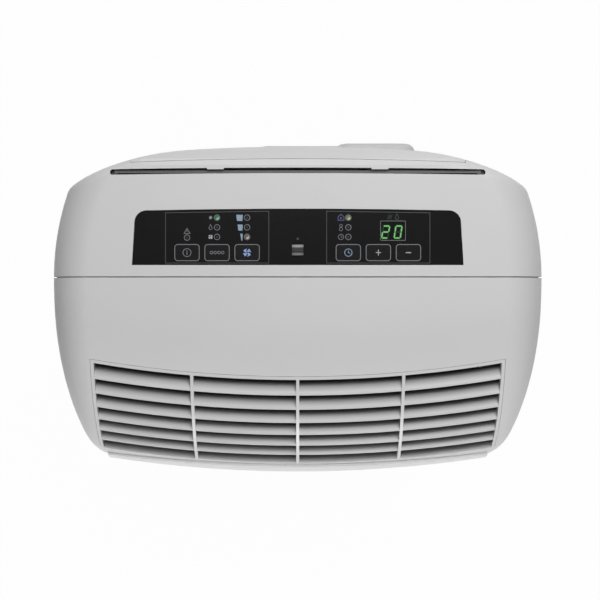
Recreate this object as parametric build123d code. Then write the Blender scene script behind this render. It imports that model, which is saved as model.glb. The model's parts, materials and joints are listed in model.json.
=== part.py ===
from build123d import *
import os
from functools import lru_cache
from math import acos, asin, atan2, cos, degrees, hypot, radians, sin, sqrt, tan

# Floor-standing dehumidifier and air cooler on four castors.
# Millimetres. +X is the machine's right, -Y its front, +Z up. The origin is on the
# floor, under the middle of the machine.

# ---------------------------------------------------------------- driving dimensions
# Overall
width = 450.0
height = 750.0
front_reach = 180.0            # from the origin to the foot of the front panel
rear_reach = 180.0             # from the origin to the back of the hose socket
wall = 2.5                     # casing wall
seat = 0.3                     # gap between pieces that are put together
slip = 0.05                    # radial clearance of a turning fit
mid_line = 0.0                 # plane of symmetry
far = 600.0                    # longer than anything, for cutting tools

# Casing outline
casing_base = 50.0             # lower edge of the shells
seam_y = 20.7                  # joint between the front and rear shells
seam_gap = 1.2
tongue_thick = 2.0             # lip that closes the seam from inside
tongue_reach = 7.0
brow_y = -22.0                 # where the flat top starts to fall to the front
brow_radius = 158.0
brow_angle = 56.0              # arc of the brow, from level
chin_radius = 70.0
crown_radius = 1220.0          # bow of the front in plan
crown_half_angle = 18.0
side_front_radius = 570.0
side_rear_radius = 245.0
rear_wall_y = 139.0
rear_mid_radius = 1600.0
rear_mid_half = 100.0
rear_side_radius = 250.0
edge_round = 36.0              # shoulder along the sides and round the front corners
rear_round = 11.0
rim_drop = 4.0                 # how far the rear rim lies below the flat top
rim_ledge = 2.4                # flat left behind the filter slot before the slope down to it

# Front panel
panel_half = 182.0
panel_proud = 2.5
panel_angle = 62.4             # where its top edge lies on the chin
panel_base_rise = 2.0          # its lower edge above the shells' lower edge
clip_x = 146.0
clip_inset = 60.0
clip_rise = 500.0
clip_radius = 4.0
clip_grip = 4.0

# Air outlet
outlet_half = 187.7
outlet_start = 17.5            # degrees round the brow
outlet_end = 58.5
outlet_frame = 3.0             # rim of the louvre insert
outlet_skin = 3.0
slot_rows = 7
blade_run = 11.6                # how far a blade reaches back, seen from above
blade_thick = 1.6
blade_front_slope = 8.0        # degrees below level at its round front edge
blade_back_slope = 62.0
nose_facets = 4                # flats round a blade's lip
blade_sink = 0.4
grille_room = 21.0             # depth kept free under the outlet for the blades
divider_pitch = 96.0
divider_width = 2.8
divider_depth = 14.0
divider_sink = 0.1

# Control fascia
fascia_y = 31.7                # its front edge
fascia_depth = 50.1
fascia_half = 148.7
fascia_taper = 2.9             # how much narrower each side is at the back
fascia_bow = 1.8
fascia_thick = 3.5
fascia_sink = 0.6
fascia_flange = 4.0
fascia_flange_thick = 2.0
fascia_round = 10.8
button_length = 22.7
button_depth = 15.3
button_round = 3.0
button_y = 42.6
button_first = 45.5
button_pitch = 27.0
button_travel = 0.8
button_stem = 3.0
button_flange = 1.5
window_rim = 1.5
display_x = 85.6
display_y = 62.3
display_length = 22.7
display_depth = 17.4
receiver_y = 45.0
receiver_length = 11.0
receiver_depth = 12.0
board_thick = 1.6
board_drop = 14.0              # board's upper face under the casing's top
board_half = 140.0
board_depth = 44.0
board_front = 10.0             # board's front edge ahead of the keys' middle
switch_side = 6.0
switch_height = 4.6
post_radius = 3.0

# Deck between the cold and the hot compartment
deck_z = 435.0
deck_thick = 3.0
deck_top = deck_z + deck_thick
tray_rim = 9.0
tray_wall = 1.5
tray_margin = 20.0
pipe_hole = 12.0

# Filter and rear intake
slot_y = 114.0                 # front edge of the filter slot
slot_width = 5.0
slot_half = 168.8
slot_bow = 1.5
filter_thick = 2.5
filter_half = 165.3
filter_lift = 32.0             # the filter's lower edge above the deck
filter_base = deck_top + filter_lift
filter_sink = 5.0
filter_border = 9.0
filter_rib = 2.0
filter_sheet = 0.6
filter_columns = 8
filter_rows = 6
tab_x = 74.0
tab_width = 15.0
rail_width = 6.0
rail_lip = 2.2
intake_half = 151.0
intake_y = 127.5               # front edge of the rear intake panel
intake_bow = 3.5
intake_lift = 14.0
intake_base = deck_top + intake_lift
intake_thick = 3.0
intake_rows = 20
intake_columns = 4
intake_rib = 5.0               # upright rib between columns of slots
slot_gap = 6.0                 # opening of the slots in both rear grilles
intake_margin = 16.0

# Rear: exhaust hose socket, lower grille, drain, cord inlet, cord hooks
socket_x = 43.0
socket_z = 330.0
socket_radius = 65.0
socket_side = 184.0
socket_low = 3.0               # how far the plinth lies behind the raised corner
socket_corner = 18.0
socket_round = 9.0
socket_wall = 3.0
corner_length = 92.0
corner_height = 60.0
lower_half = 132.0
lower_base = 84.0
lower_top = 228.0
lower_slots = 17
lower_margin = 10.0
drain_x = -120.0
drain_z = 400.0
drain_radius = 7.0
drain_neck = 8.0               # radius of the stretch that passes the rear wall
drain_collar = 2.0             # how far the neck stands out as a stop for the hose
drain_bore = 4.5
drain_length = 16.0
drain_flange = 11.0
drain_back = 16.0              # elbow's place inside the rear wall
plug_x = 110.0
plug_radius = 9.0
plug_z = 60.0
plug_head = 6.0
plug_lip = 3.5
cord_x = -165.0
cord_z = 92.0
cord_bush_radius = 9.0
cord_radius = 4.0
cord_bush_head = 3.0
cord_bush_lip = 3.0
hook_x = -165.0
hook_low = 150.0
hook_high = 330.0
hook_reach = 22.0
hook_lip = 16.0
hook_width = 26.0
hook_thick = 4.0

# Side handles
handle_y = 66.0
handle_drop = 175.0            # below the casing's top
handle_z = height - handle_drop
handle_length = 60.0
handle_height = 34.0
handle_depth = 26.0
handle_round = 8.0
handle_rim = 5.0
handle_wall = 2.2

# Base pan and castors
pan_bottom = 44.0
pan_floor = 3.0
pan_wall = 3.0
pan_top = 78.0
castor_x = 180.0
castor_front_inset = 62.0
castor_front_y = castor_front_inset - front_reach
castor_rear_y = 92.0
castor_wheel_radius = 18.0
castor_trail = 11.0
castor_wheel_width = 8.0
castor_web = 7.0
castor_gap = 0.6
castor_axle = 3.0
castor_stem = 5.0
castor_socket = 10.0
castor_socket_height = 24.0
castor_head = 13.0
castor_head_thick = 3.5
castor_chamfer = 1.0

# Coils
coil_half = 150.0
coil_plate = 2.0
coil_plate_lip = 3.0
cold_coil_y = 70.0
cold_coil_depth = 35.0
cold_coil_lift = 6.0           # above the deck
cold_coil_room = 50.0          # kept free over it for the fascia and its board
cold_coil_base = deck_top + cold_coil_lift
cold_coil_top = height - cold_coil_room
hot_coil_y = 82.0
hot_coil_depth = 32.0
hot_coil_base = 62.0
hot_coil_top = 226.0
coil_tube = 4.0
coil_bend = 10.5

# Electrics
box_x = 126.0
box_length = 74.0
box_y = -92.0
box_depth = 96.0
box_height = 140.0
box_wall = 2.0
main_board_gap = 8.0
relay_side = 14.0
transformer_rise = 21.0
transformer_depth = 21.0
capacitor_radius = 17.0
capacitor_height = 62.0

# Upper blower
scroll_wall = 2.0
scroll_room = 88.0             # kept free over the scroll for the outlet
scroll_side = 14.0             # from the scroll to the control box beside it
wheel_inset = 20.0             # from the scroll to its wheel
eye_inset = 20.0               # from the wheel to the scroll's eye
cold_scroll_radius = min((height - deck_top - scroll_room) / 2, box_x - scroll_side)
cold_wheel_radius = cold_scroll_radius - wheel_inset
cold_eye = cold_wheel_radius - eye_inset
cold_fan_z = deck_top + cold_scroll_radius + scroll_wall
cold_fan_y = -60.0             # front of its scroll
cold_fan_depth = 110.0
cold_wheel_width = 62.0
scroll_foot = 30.0
duct_lift = 48.0               # the duct's lower end above the wheel's axis
duct_base = cold_fan_z + duct_lift
duct_low_half = 110.0
duct_top_half = 182.0
duct_front = -150.0
duct_back = -20.0
duct_inset = 16.0

# Lower blower
hot_fan_x = 60.0
hot_fan_z = 168.0
hot_fan_y = -22.0
hot_fan_depth = 84.0
hot_scroll_radius = 94.0
hot_wheel_radius = 78.0
hot_wheel_width = 52.0
hot_eye = 60.0
exhaust_half = 70.0
exhaust_top = 402.0
exhaust_turn = 256.0
exhaust_back = 131.0

# Blower parts
blade_count = 22
blade_chord = 14.0
blade_tilt = 28.0
fan_blade_thick = 1.4
fan_disc = 2.0
fan_hub = 12.0
shaft_radius = 5.0
motor_gap = 2.0
cold_motor_radius = 42.0
cold_motor_length = 56.0
hot_motor_radius = 38.0
hot_motor_length = 52.0
motor_foot = 10.0
motor_end_wall = 4.0

# Compressor set
compressor_x = -130.0
compressor_y = -12.0
compressor_radius = 54.0
compressor_height = 200.0
compressor_dome = 24.0
compressor_plate = 3.0
compressor_foot_pitch = 66.0
mount_radius = 12.0
mount_height = 14.0
accumulator_x = -60.0
accumulator_y = -78.0
accumulator_radius = 20.0
accumulator_height = 110.0
accumulator_base = 130.0
suction_radius = 5.0
discharge_radius = 4.0
liquid_radius = 3.0
bend_radius = 14.0
pipe_rise = 42.0               # the upper bends above the deck
pipe_high = deck_top + pipe_rise
pipe_low = 350.0
suction_drop = (-140.0, 20.0)
liquid_drop = (140.0, 40.0)
discharge_stub = 8.0

# Condensate: splash wheel and level float
splash_x = -72.0
splash_y = 70.0
splash_z = 84.0
splash_radius = 28.0
splash_thick = 4.0
splash_vanes = 10
splash_motor_radius = 15.0
splash_motor_length = 24.0
splash_shaft = 3.0
float_x = 140.0
float_y = -112.0
float_stem = 3.5
float_radius = 11.0
float_height = 14.0
float_lift = 12.0
float_head = 6.0
float_foot = 4.0

# Casing screws
screw_radius = 2.0
screw_head = 4.0
screw_head_thick = 2.2
screw_length = 9.0
screw_z = 64.0
screw_front_y = -55.0
screw_rear_y = 60.0
screw_back_x = 70.0

# ---------------------------------------------------------------- derived sizes
half_width = width / 2
rear_zone_y = (seam_y + rear_wall_y) / 2   # only the rear wall lies behind this plane
crown_axis_y = crown_radius - front_reach
crown_axis = Axis((0, crown_axis_y, 0), (0, 0, 1))
panel_base = casing_base + panel_base_rise
brow_centre = (brow_y, height - brow_radius)
board_z = height - board_drop
slot_back = slot_y + slot_width
filter_y = slot_y + seat + 0.1
filter_top = height - filter_sink
castor_z = castor_wheel_radius
castor_top = pan_bottom - seat
pan_floor_top = pan_bottom + pan_floor
compressor_top = pan_floor_top + mount_height + compressor_height + discharge_stub
accumulator_top = accumulator_base + accumulator_height


# ---------------------------------------------------------------- helpers
def block(x0, x1, y0, y1, z0, z1):
    """A box between two corners."""
    middle = ((x0 + x1) / 2, (y0 + y1) / 2, (z0 + z1) / 2)
    return Pos(*middle) * Box(abs(x1 - x0), abs(y1 - y0), abs(z1 - z0))


def post(x, y, z0, z1, radius):
    """An upright cylinder."""
    return Pos(x, y, (z0 + z1) / 2) * Cylinder(radius, abs(z1 - z0))


def bar_y(x, z, y0, y1, radius):
    """A cylinder along Y."""
    return Pos(x, (y0 + y1) / 2, z) * Rot(90, 0, 0) * Cylinder(radius, abs(y1 - y0))


def bar_x(y, z, x0, x1, radius):
    """A cylinder along X."""
    return Pos((x0 + x1) / 2, y, z) * Rot(0, 90, 0) * Cylinder(radius, abs(x1 - x0))


def mirrored(shape):
    """The same shape on the other side of the machine."""
    return mirror(shape, about=Plane.YZ)


def bowed_band(half_length, y0, y1, bow, z0, z1):
    """A bar across the machine whose long edges bow back by the same amount."""
    edges = [
        ThreePointArc((-half_length, y0 - bow), (0, y0), (half_length, y0 - bow)),
        Line((half_length, y0 - bow), (half_length, y1 - bow)),
        ThreePointArc((half_length, y1 - bow), (0, y1), (-half_length, y1 - bow)),
        Line((-half_length, y1 - bow), (-half_length, y0 - bow)),
    ]
    return Pos(0, 0, z0) * extrude(make_face(edges), z1 - z0)


def save(name, shape):
    """Write one named piece."""
    export_step(shape, f"parts/{name}.step")


# ---------------------------------------------------------------- casing form
def on_arc(centre, radius, angle):
    """Point on a side-view arc, its angle counted from straight up towards the front."""
    return (centre[0] - radius * sin(radians(angle)), centre[1] + radius * cos(radians(angle)))


chin_centre = on_arc(brow_centre, brow_radius - chin_radius, brow_angle)


def chin_end():
    """Angle at which the chin meets the straight front that runs down to the foot."""
    down_y = chin_centre[0] - (panel_proud - front_reach)
    down_z = panel_base - chin_centre[1]
    return degrees(atan2(down_y, down_z) - acos(chin_radius / hypot(down_y, down_z)))


chin_angle = chin_end()


def front_profile(inset):
    """Side view of the machine, from the floor up over the brow to the flat top."""
    top = height - inset
    brow = [on_arc(brow_centre, brow_radius - inset, a) for a in (0, brow_angle / 2, brow_angle)]
    middle = (brow_angle + chin_angle) / 2
    chin = [on_arc(chin_centre, chin_radius - inset, a) for a in (middle, chin_angle)]
    foot_y = chin[1][0] - chin[1][1] * tan(radians(90 - chin_angle))
    edges = [
        Line((far, top), brow[0]),
        ThreePointArc(*brow),
        ThreePointArc(brow[2], *chin),
        Line(chin[1], (foot_y, 0)),
        Line((foot_y, 0), (far, 0)),
        Line((far, 0), (far, top)),
    ]
    return Plane.YZ * make_face(edges)


def crowned(face):
    """Turn a side-view face about the crown axis, so that it follows the bowed front."""
    ring = revolve(face, crown_axis, 2 * crown_half_angle)
    return ring.rotate(crown_axis, -crown_half_angle)


def side_point(radius, x_widest, y):
    """Point of a side arc whose widest place is at the seam."""
    return (x_widest - radius + sqrt(radius ** 2 - (y - seam_y) ** 2), y)


def flipped(point):
    """The mirror of a plan point."""
    return (-point[0], point[1])


def side_outline(inset):
    """Plan of the two sides, run past the front and the rear wall."""
    x = half_width - inset
    front = [side_point(side_front_radius - inset, x, y) for y in (-front_reach - 40, -front_reach / 2)]
    back = [side_point(side_rear_radius - inset, x, y) for y in (rear_wall_y / 2, rear_wall_y + 40)]
    widest = (x, seam_y)
    edges = [
        ThreePointArc(front[0], front[1], widest),
        ThreePointArc(widest, back[0], back[1]),
        Line(back[1], flipped(back[1])),
        ThreePointArc(flipped(back[1]), flipped(back[0]), flipped(widest)),
        ThreePointArc(flipped(widest), flipped(front[1]), flipped(front[0])),
        Line(flipped(front[0]), front[0]),
    ]
    return make_face(edges)


def rear_outline(inset):
    """Plan of the rear wall: a gentle middle arc and a tighter one each side."""
    middle_y = rear_wall_y - rear_mid_radius
    turn = asin(rear_mid_half / rear_mid_radius)
    join = ((rear_mid_radius - inset) * sin(turn), middle_y + (rear_mid_radius - inset) * cos(turn))
    side_x = rear_mid_half - rear_side_radius * sin(turn)
    side_y = middle_y + (rear_mid_radius - rear_side_radius) * cos(turn)
    sweep = [turn + radians(a) for a in (30, 60)]
    radius = rear_side_radius - inset
    mid, end = [(side_x + radius * sin(a), side_y + radius * cos(a)) for a in sweep]
    out = (end[0], -far)
    edges = [
        ThreePointArc(flipped(join), (0, rear_wall_y - inset), join),
        ThreePointArc(join, mid, end),
        Line(end, out),
        Line(out, flipped(out)),
        Line(flipped(out), flipped(end)),
        ThreePointArc(flipped(end), flipped(mid), flipped(join)),
    ]
    return make_face(edges)


def shoulder_edges(body):
    """Edges along both sides: up the front corners, over the brow and back."""
    def wanted(edge):
        middle = edge.center()
        off_middle = abs(middle.X) > half_width * 0.6
        off_ends = edge.bounding_box().max.Z > 1 and middle.Y < rear_wall_y + 39
        return off_middle and off_ends and abs(middle.Y - seam_y) > 1
    return [e for e in body.edges() if wanted(e)]


def rear_edges(body):
    """Edges round the rear wall, without its foot and the joints between its arcs."""
    found = []
    for face in body.faces():
        middle = face.center()
        normal = face.normal_at(middle)
        if middle.Y < rear_wall_y - 45 or abs(normal.Z) > 0.01 or normal.Y < 0.4:
            continue
        for edge in face.edges():
            box = edge.bounding_box()
            joint = abs(abs(edge.center().X) - rear_mid_half) < 5 and box.size.X < 1
            if box.max.Z > 1 and not joint:
                found.append(edge)
    return found


def rim_tool(inset):
    """Everything above the rear rim: a slope behind the filter slot's ledge, then level."""
    low = height - rim_drop
    high = height + rim_drop
    start = slot_back + rim_ledge
    corners = [(2 * start - intake_y, high), (start, height), (intake_y, low), (far, low), (far, high)]
    tool = extrude(Plane.YZ * make_face(Polyline(*corners, close=True)), far, both=True)
    return Pos(0, 0, -inset) * tool


@lru_cache(maxsize=None)
def casing_form(inset=0.0):
    """The casing's outer form as one solid, or the same form drawn in by an inset."""
    body = crowned(front_profile(inset)) & extrude(side_outline(inset), height)
    body = fillet(shoulder_edges(body), edge_round - inset)
    body = body & extrude(rear_outline(inset), height)
    return fillet(rear_edges(body), max(rear_round - inset, 1.0)) - rim_tool(inset)


def skin(outer, thick):
    """A shell of the casing's form, from one inset inwards."""
    return casing_form(outer) - casing_form(outer + thick)


def brow_wedge(start, end, inner, outer=8.0):
    """A crowned band of the brow between two angles."""
    angles = (start, (start + end) / 2, end)
    inside = [on_arc(brow_centre, brow_radius - inner, a) for a in angles]
    outside = [on_arc(brow_centre, brow_radius + outer, a) for a in angles]
    edges = [
        ThreePointArc(*inside),
        Line(inside[2], outside[2]),
        ThreePointArc(*reversed(outside)),
        Line(outside[0], inside[0]),
    ]
    return crowned(Plane.YZ * make_face(edges))


def width_band(half):
    """Everything within a half width of the middle plane."""
    return block(-half, half, -far, far, -far, 2 * far)


# ---------------------------------------------------------------- casing pieces
def outlet_opening(clearance):
    """Tool for the louvre insert's opening in the front shell."""
    spread = degrees(clearance / brow_radius)
    wedge = brow_wedge(outlet_start - spread, outlet_end + spread, outlet_skin + 20)
    return wedge & width_band(outlet_half + clearance)


def front_shell():
    """Front half of the casing, with the air outlet opening and the seam's tongue."""
    front = block(-far, far, -far, seam_y - seam_gap / 2, casing_base, 2 * far)
    shell = skin(0.0, wall) & front
    root = skin(wall, seat + tongue_thick) & block(
        -far, far, seam_y - tongue_reach, seam_y - seam_gap / 2, pan_top + seat, 2 * far)
    lip = skin(wall + seat, tongue_thick) & block(
        -far, far, seam_y - seam_gap / 2, seam_y + tongue_reach, pan_top + seat, 2 * far)
    shell = shell + root + lip
    shell -= outlet_opening(seat)
    shell -= panel_clips(seat)
    return shell - screw_holes(seat)


def panel_clips(clearance):
    """Four pegs behind the front panel, or the holes for them in the front shell."""
    rows = (panel_base + clip_inset, panel_base + clip_rise)
    centres = [(x, z) for x in (-clip_x, clip_x) for z in rows]
    pegs = [bar_y(x, z, -front_reach - 10, 0, clip_radius + clearance) for x, z in centres]
    return pegs[0] + pegs[1:]


def front_panel():
    """Lower front cover, proud of the shell, with its top edge under the outlet."""
    outer = crowned(front_profile(-panel_proud)) & width_band(panel_half)
    edge = on_arc(chin_centre, 2 * brow_radius, panel_angle)
    corners = [chin_centre, edge, (-far, edge[1]), (-far, panel_base), (chin_centre[0], panel_base)]
    zone = extrude(Plane.YZ * make_face(Polyline(*corners, close=True)), far, both=True)
    pegs = panel_clips(0.0) & skin(0.0, wall + clip_grip)
    return (outer & zone) - casing_form(0.0) + pegs


def blade(angle):
    """One louvre blade: a faceted lip in front, then curving back and down."""
    half = blade_thick / 2
    radius = blade_run / (sin(radians(blade_back_slope)) - sin(radians(blade_front_slope)))
    edge = on_arc(brow_centre, brow_radius - blade_sink - half, angle)
    centre = on_arc(edge, half - radius, -blade_front_slope)
    slopes = (blade_front_slope, (blade_front_slope + blade_back_slope) / 2, blade_back_slope)
    upper = [on_arc(centre, radius, -slope) for slope in slopes]
    lower = [on_arc(centre, radius - blade_thick, -slope) for slope in reversed(slopes)]
    step = 180 / nose_facets
    nose = [on_arc(edge, half, 180 - blade_front_slope - step * i) for i in range(1, nose_facets)]
    edges = [
        ThreePointArc(*upper),
        Line(upper[2], lower[0]),
        ThreePointArc(*lower),
        Polyline(lower[2], *nose, upper[0]),
    ]
    return crowned(Plane.YZ * make_face(edges))


def outlet_grille():
    """Louvre insert: rim, curved blades and three upright dividers."""
    rim_turn = degrees(outlet_frame / brow_radius)
    start, end = outlet_start + rim_turn, outlet_end - rim_turn
    hole = brow_wedge(start, end, outlet_skin + 30) & width_band(outlet_half - outlet_frame)
    body = brow_wedge(outlet_start, outlet_end, 40) & width_band(outlet_half)
    grille = skin(0.0, divider_depth) & body
    grille -= hole
    pitch = (end - start) / slot_rows
    blades = [blade(start + pitch * (row + 1)) for row in range(slot_rows - 1)]
    inside = width_band(outlet_half - outlet_frame / 2) & casing_form(blade_sink / 2)
    grille += [b & inside for b in blades]
    reach = skin(divider_sink, divider_depth) & brow_wedge(start - 0.5, end + 0.5, 40)
    columns = (-divider_pitch, 0.0, divider_pitch)
    bars = [block(x - divider_width / 2, x + divider_width / 2, -far, far, 0, far * 2) for x in columns]
    return grille + [reach & b for b in bars]


def fascia_outline(clearance=0.0):
    """Plan of the control fascia: straight front edge, bowed back edge, round corners."""
    y0 = fascia_y - clearance
    y1 = fascia_y + fascia_depth + clearance
    low = fascia_half + clearance
    high = low - fascia_taper
    face = make_face([
        Line((-low, y0), (low, y0)),
        Line((low, y0), (high, y1 - fascia_bow)),
        ThreePointArc((high, y1 - fascia_bow), (0, y1), (-high, y1 - fascia_bow)),
        Line((-high, y1 - fascia_bow), (-low, y0)),
    ])
    back = face.vertices().sort_by(Axis.Y)[2:]
    return fillet(back, fascia_round)


def button_centres():
    """Plan places of the six keys, left to right."""
    outward = [button_first + button_pitch * i for i in range(3)]
    return [(-x, button_y) for x in reversed(outward)] + [(x, button_y) for x in outward]


def receiver_tool(clearance):
    """Plan form of the remote-control receiver's window."""
    shape = RectangleRounded(receiver_length + 2 * clearance, receiver_depth + 2 * clearance, button_round)
    return Pos(mid_line, receiver_y) * shape


def display_tool(clearance):
    """Plan form of the number display's window."""
    shape = Rectangle(display_length + 2 * clearance, display_depth + 2 * clearance)
    return Pos(display_x, display_y) * shape


def button_tool(clearance):
    """Plan form of one key, centred on the origin."""
    return RectangleRounded(button_length + 2 * clearance, button_depth + 2 * clearance, button_round)


def fascia():
    """Control fascia with a flange under the casing's top, and its windows and key holes."""
    top = height - fascia_sink
    plate = Pos(0, 0, top - fascia_thick) * extrude(fascia_outline(), fascia_thick)
    flange_top = height - wall - seat
    flange = Pos(0, 0, flange_top - fascia_flange_thick) * extrude(
        fascia_outline(fascia_flange), fascia_flange_thick)
    body = plate + flange
    holes = [Pos(x, y) * button_tool(seat) for x, y in button_centres()]
    holes += [display_tool(seat), receiver_tool(seat)]
    for hole in holes:
        body -= Pos(0, 0, board_z) * extrude(hole, board_drop)
    return body


def button(x, y):
    """One key: cap flush with the fascia, a flange that holds it in, and a stem."""
    top = height - fascia_sink
    under = height - wall - seat - fascia_flange_thick - seat
    cap = Pos(x, y, under) * extrude(button_tool(0.0), top - under)
    flange = Pos(x, y, under - button_flange) * extrude(button_tool(button_flange), button_flange)
    stem_foot = board_z + switch_height + button_travel + seat
    return cap + flange + post(x, y, stem_foot, under, button_stem)


def window(tool):
    """A window plate in the fascia with a rim below that holds it in."""
    top = height - fascia_sink
    under = height - wall - seat - fascia_flange_thick
    pane = Pos(0, 0, under) * extrude(tool(0.0), top - under)
    rim = Pos(0, 0, under - window_rim) * extrude(tool(window_rim), window_rim)
    return pane + rim


def control_board():
    """Circuit board under the fascia: tact switches, display block, receiver and posts."""
    y0 = button_y - board_front
    board = block(-board_half, board_half, y0, y0 + board_depth, board_z - board_thick, board_z)
    parts = []
    for x, y in button_centres():
        half = switch_side / 2
        parts.append(block(x - half, x + half, y - half, y + half, board_z, board_z + switch_height))
    under = height - wall - seat - fascia_flange_thick - window_rim - seat
    x0, y1 = display_x - display_length / 2, display_y - display_depth / 2
    parts.append(block(x0, x0 + display_length, y1, y1 + display_depth, board_z, under))
    parts.append(post(mid_line, receiver_y, board_z, under, receiver_length / 3))
    foot = height - wall - seat - fascia_flange_thick
    for x in (-board_half + 2 * post_radius, board_half - 2 * post_radius):
        parts.append(post(x, y0 + board_depth - 2 * post_radius, board_z, foot, post_radius))
    return board + parts


def intake_zone(clearance):
    """Tool for the rear intake panel's opening, open to the back and the top."""
    front = intake_y - clearance
    base = intake_base - clearance
    return bowed_band(intake_half + clearance, front, far, intake_bow, base, far * 2)


def slot_zone():
    """Tool for the filter slot in the casing's top, with round ends."""
    band = bowed_band(slot_half, slot_y, slot_back, slot_bow, height - 3 * wall, height + wall)
    return fillet(band.edges().filter_by(Axis.Z), slot_width * 0.45)


def socket_outline(side, radius):
    """Rear view of the hose socket's plinth."""
    return Plane.XZ * Pos(socket_x, socket_z) * RectangleRounded(side, side, radius)


def rear_shell():
    """Rear half of the casing with its top, and every opening in them."""
    back = block(-far, far, seam_y + seam_gap / 2, far, casing_base, 2 * far)
    shell = skin(0.0, wall) & back
    shell -= Pos(0, 0, height - 4 * wall) * extrude(fascia_outline(seat), far)
    shell -= slot_zone()
    shell -= intake_zone(seat)
    shell -= bar_y(socket_x, socket_z, 0, far, socket_radius + socket_wall + seat)
    shell -= lower_zone(seat)
    shell -= bar_y(drain_x, drain_z, rear_zone_y, far, drain_neck + seat)
    shell -= bar_y(plug_x, plug_z, rear_zone_y, far, plug_radius + seat)
    shell -= bar_y(cord_x, cord_z, rear_zone_y, far, cord_bush_radius + seat)
    opening = handle_box(seat)
    shell -= [opening, mirrored(opening)]
    return shell - screw_holes(seat)


def intake_grille():
    """Rear intake panel with rows of level slots; its rim closes the casing's top edge."""
    panel = skin(0.0, intake_thick) & intake_zone(0.0)
    base = intake_base + intake_margin
    row_pitch = (height - rim_drop - rear_round - intake_margin - base) / intake_rows
    column_pitch = 2 * (intake_half - intake_margin) / intake_columns
    half = (column_pitch - intake_rib) / 2
    slots = []
    for column in range(intake_columns):
        x = (column - (intake_columns - 1) / 2) * column_pitch
        for row in range(intake_rows):
            z = base + (row + 0.5) * row_pitch
            slots.append(block(x - half, x + half, intake_y, far, z - slot_gap / 2, z + slot_gap / 2))
    return panel - slots


def lower_zone(clearance):
    """Tool for the lower grille's opening in the rear wall."""
    half = lower_half + clearance
    return block(-half, half, rear_zone_y, far, lower_base - clearance, lower_top + clearance)


def lower_grille():
    """Fixed grille over the hot coil."""
    panel = skin(0.0, intake_thick) & lower_zone(0.0)
    pitch = 2 * (lower_half - lower_margin) / lower_slots
    half = slot_gap / 2
    for i in range(lower_slots):
        x = (i - (lower_slots - 1) / 2) * pitch
        panel -= block(x - half, x + half, seam_y, far, lower_base + lower_margin, lower_top - lower_margin)
    return panel


def latch_tabs():
    """Two finger tabs on the back edge of the filter slot."""
    half = tab_width / 2
    tab = block(tab_x - half, tab_x + half, slot_back - slot_bow, slot_back, height - wall, height)
    return [tab, mirrored(tab)]


# ---------------------------------------------------------------- filter
def dust_filter():
    """Slide-out filter: a frame with ribs over a fine mesh sheet."""
    body = block(-filter_half, filter_half, filter_y, filter_y + filter_thick, filter_base, filter_top)
    wide = (2 * (filter_half - filter_border) + filter_rib) / filter_columns
    tall = (filter_top - filter_base - 2 * filter_border + filter_rib) / filter_rows
    x0 = -filter_half + filter_border
    z0 = filter_base + filter_border
    deep = (filter_thick - filter_sheet) / 2
    faces = ((filter_y, filter_y + deep), (filter_y + filter_thick - deep, filter_y + filter_thick))
    for i in range(filter_columns):
        for k in range(filter_rows):
            x, z = x0 + i * wide, z0 + k * tall
            for y0, y1 in faces:
                body -= block(x, x + wide - filter_rib, y0, y1, z, z + tall - filter_rib)
    return body


def filter_guide():
    """Two upright channels on a sill, in which the filter slides."""
    y0 = filter_y - seat - rail_lip
    y1 = filter_y + filter_thick + seat + rail_lip
    outer = filter_half + seat + rail_lip
    foot = deck_top + seat
    sill = block(-outer, outer, y0, y1, foot, filter_base - seat)
    rail = block(outer - rail_width, outer, y0, y1, foot, height - wall - seat)
    body = sill + rail + mirrored(rail)
    path = block(-filter_half - seat, filter_half + seat, filter_y - seat,
                 filter_y + filter_thick + seat, filter_base - seat, far * 2)
    return (body - path) & casing_form(wall + seat)


# ---------------------------------------------------------------- rear fittings
def hose_socket():
    """Plinth and round socket for the exhaust hose, with one raised corner."""
    outer_y = rear_reach - socket_low
    rear = bar_y(socket_x, socket_z, exhaust_back + seat, outer_y, socket_radius + socket_wall)
    plinth = Pos(0, outer_y, 0) * extrude(socket_outline(socket_side, socket_corner), outer_y - seam_y)
    plinth = fillet(plinth.faces().sort_by(Axis.Y)[-1].edges(), socket_round)
    inner = socket_side - 2 * socket_wall
    hollow = Pos(0, outer_y - socket_wall, 0) * extrude(
        socket_outline(inner, socket_corner - socket_wall), outer_y)
    raised = raised_corner()
    body = (plinth - hollow + raised) - casing_form(0.0)
    return body + rear - bar_y(socket_x, socket_z, 0, far, socket_radius)


def raised_corner():
    """Block at the socket's upper right corner, the machine's rearmost place."""
    x = socket_x + (socket_side - corner_length) / 2
    z = socket_z + (socket_side - corner_height) / 2
    front = rear_reach - socket_low - socket_round
    outline = Plane.XZ * Pos(x, z) * RectangleRounded(corner_length, corner_height, socket_corner)
    body = Pos(0, rear_reach, 0) * extrude(outline, rear_reach - front)
    return fillet(body.faces().sort_by(Axis.Y)[-1].edges(), socket_round)


def wall_y(x, inset=0.0):
    """Where the rear wall stands at a place across the machine."""
    if abs(x) <= rear_mid_half:
        return rear_wall_y - rear_mid_radius + sqrt((rear_mid_radius - inset) ** 2 - x ** 2)
    middle_y = rear_wall_y - rear_mid_radius
    turn = asin(rear_mid_half / rear_mid_radius)
    side_x = rear_mid_half - rear_side_radius * sin(turn)
    side_y = middle_y + (rear_mid_radius - rear_side_radius) * cos(turn)
    return side_y + sqrt((rear_side_radius - inset) ** 2 - (abs(x) - side_x) ** 2)


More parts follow.
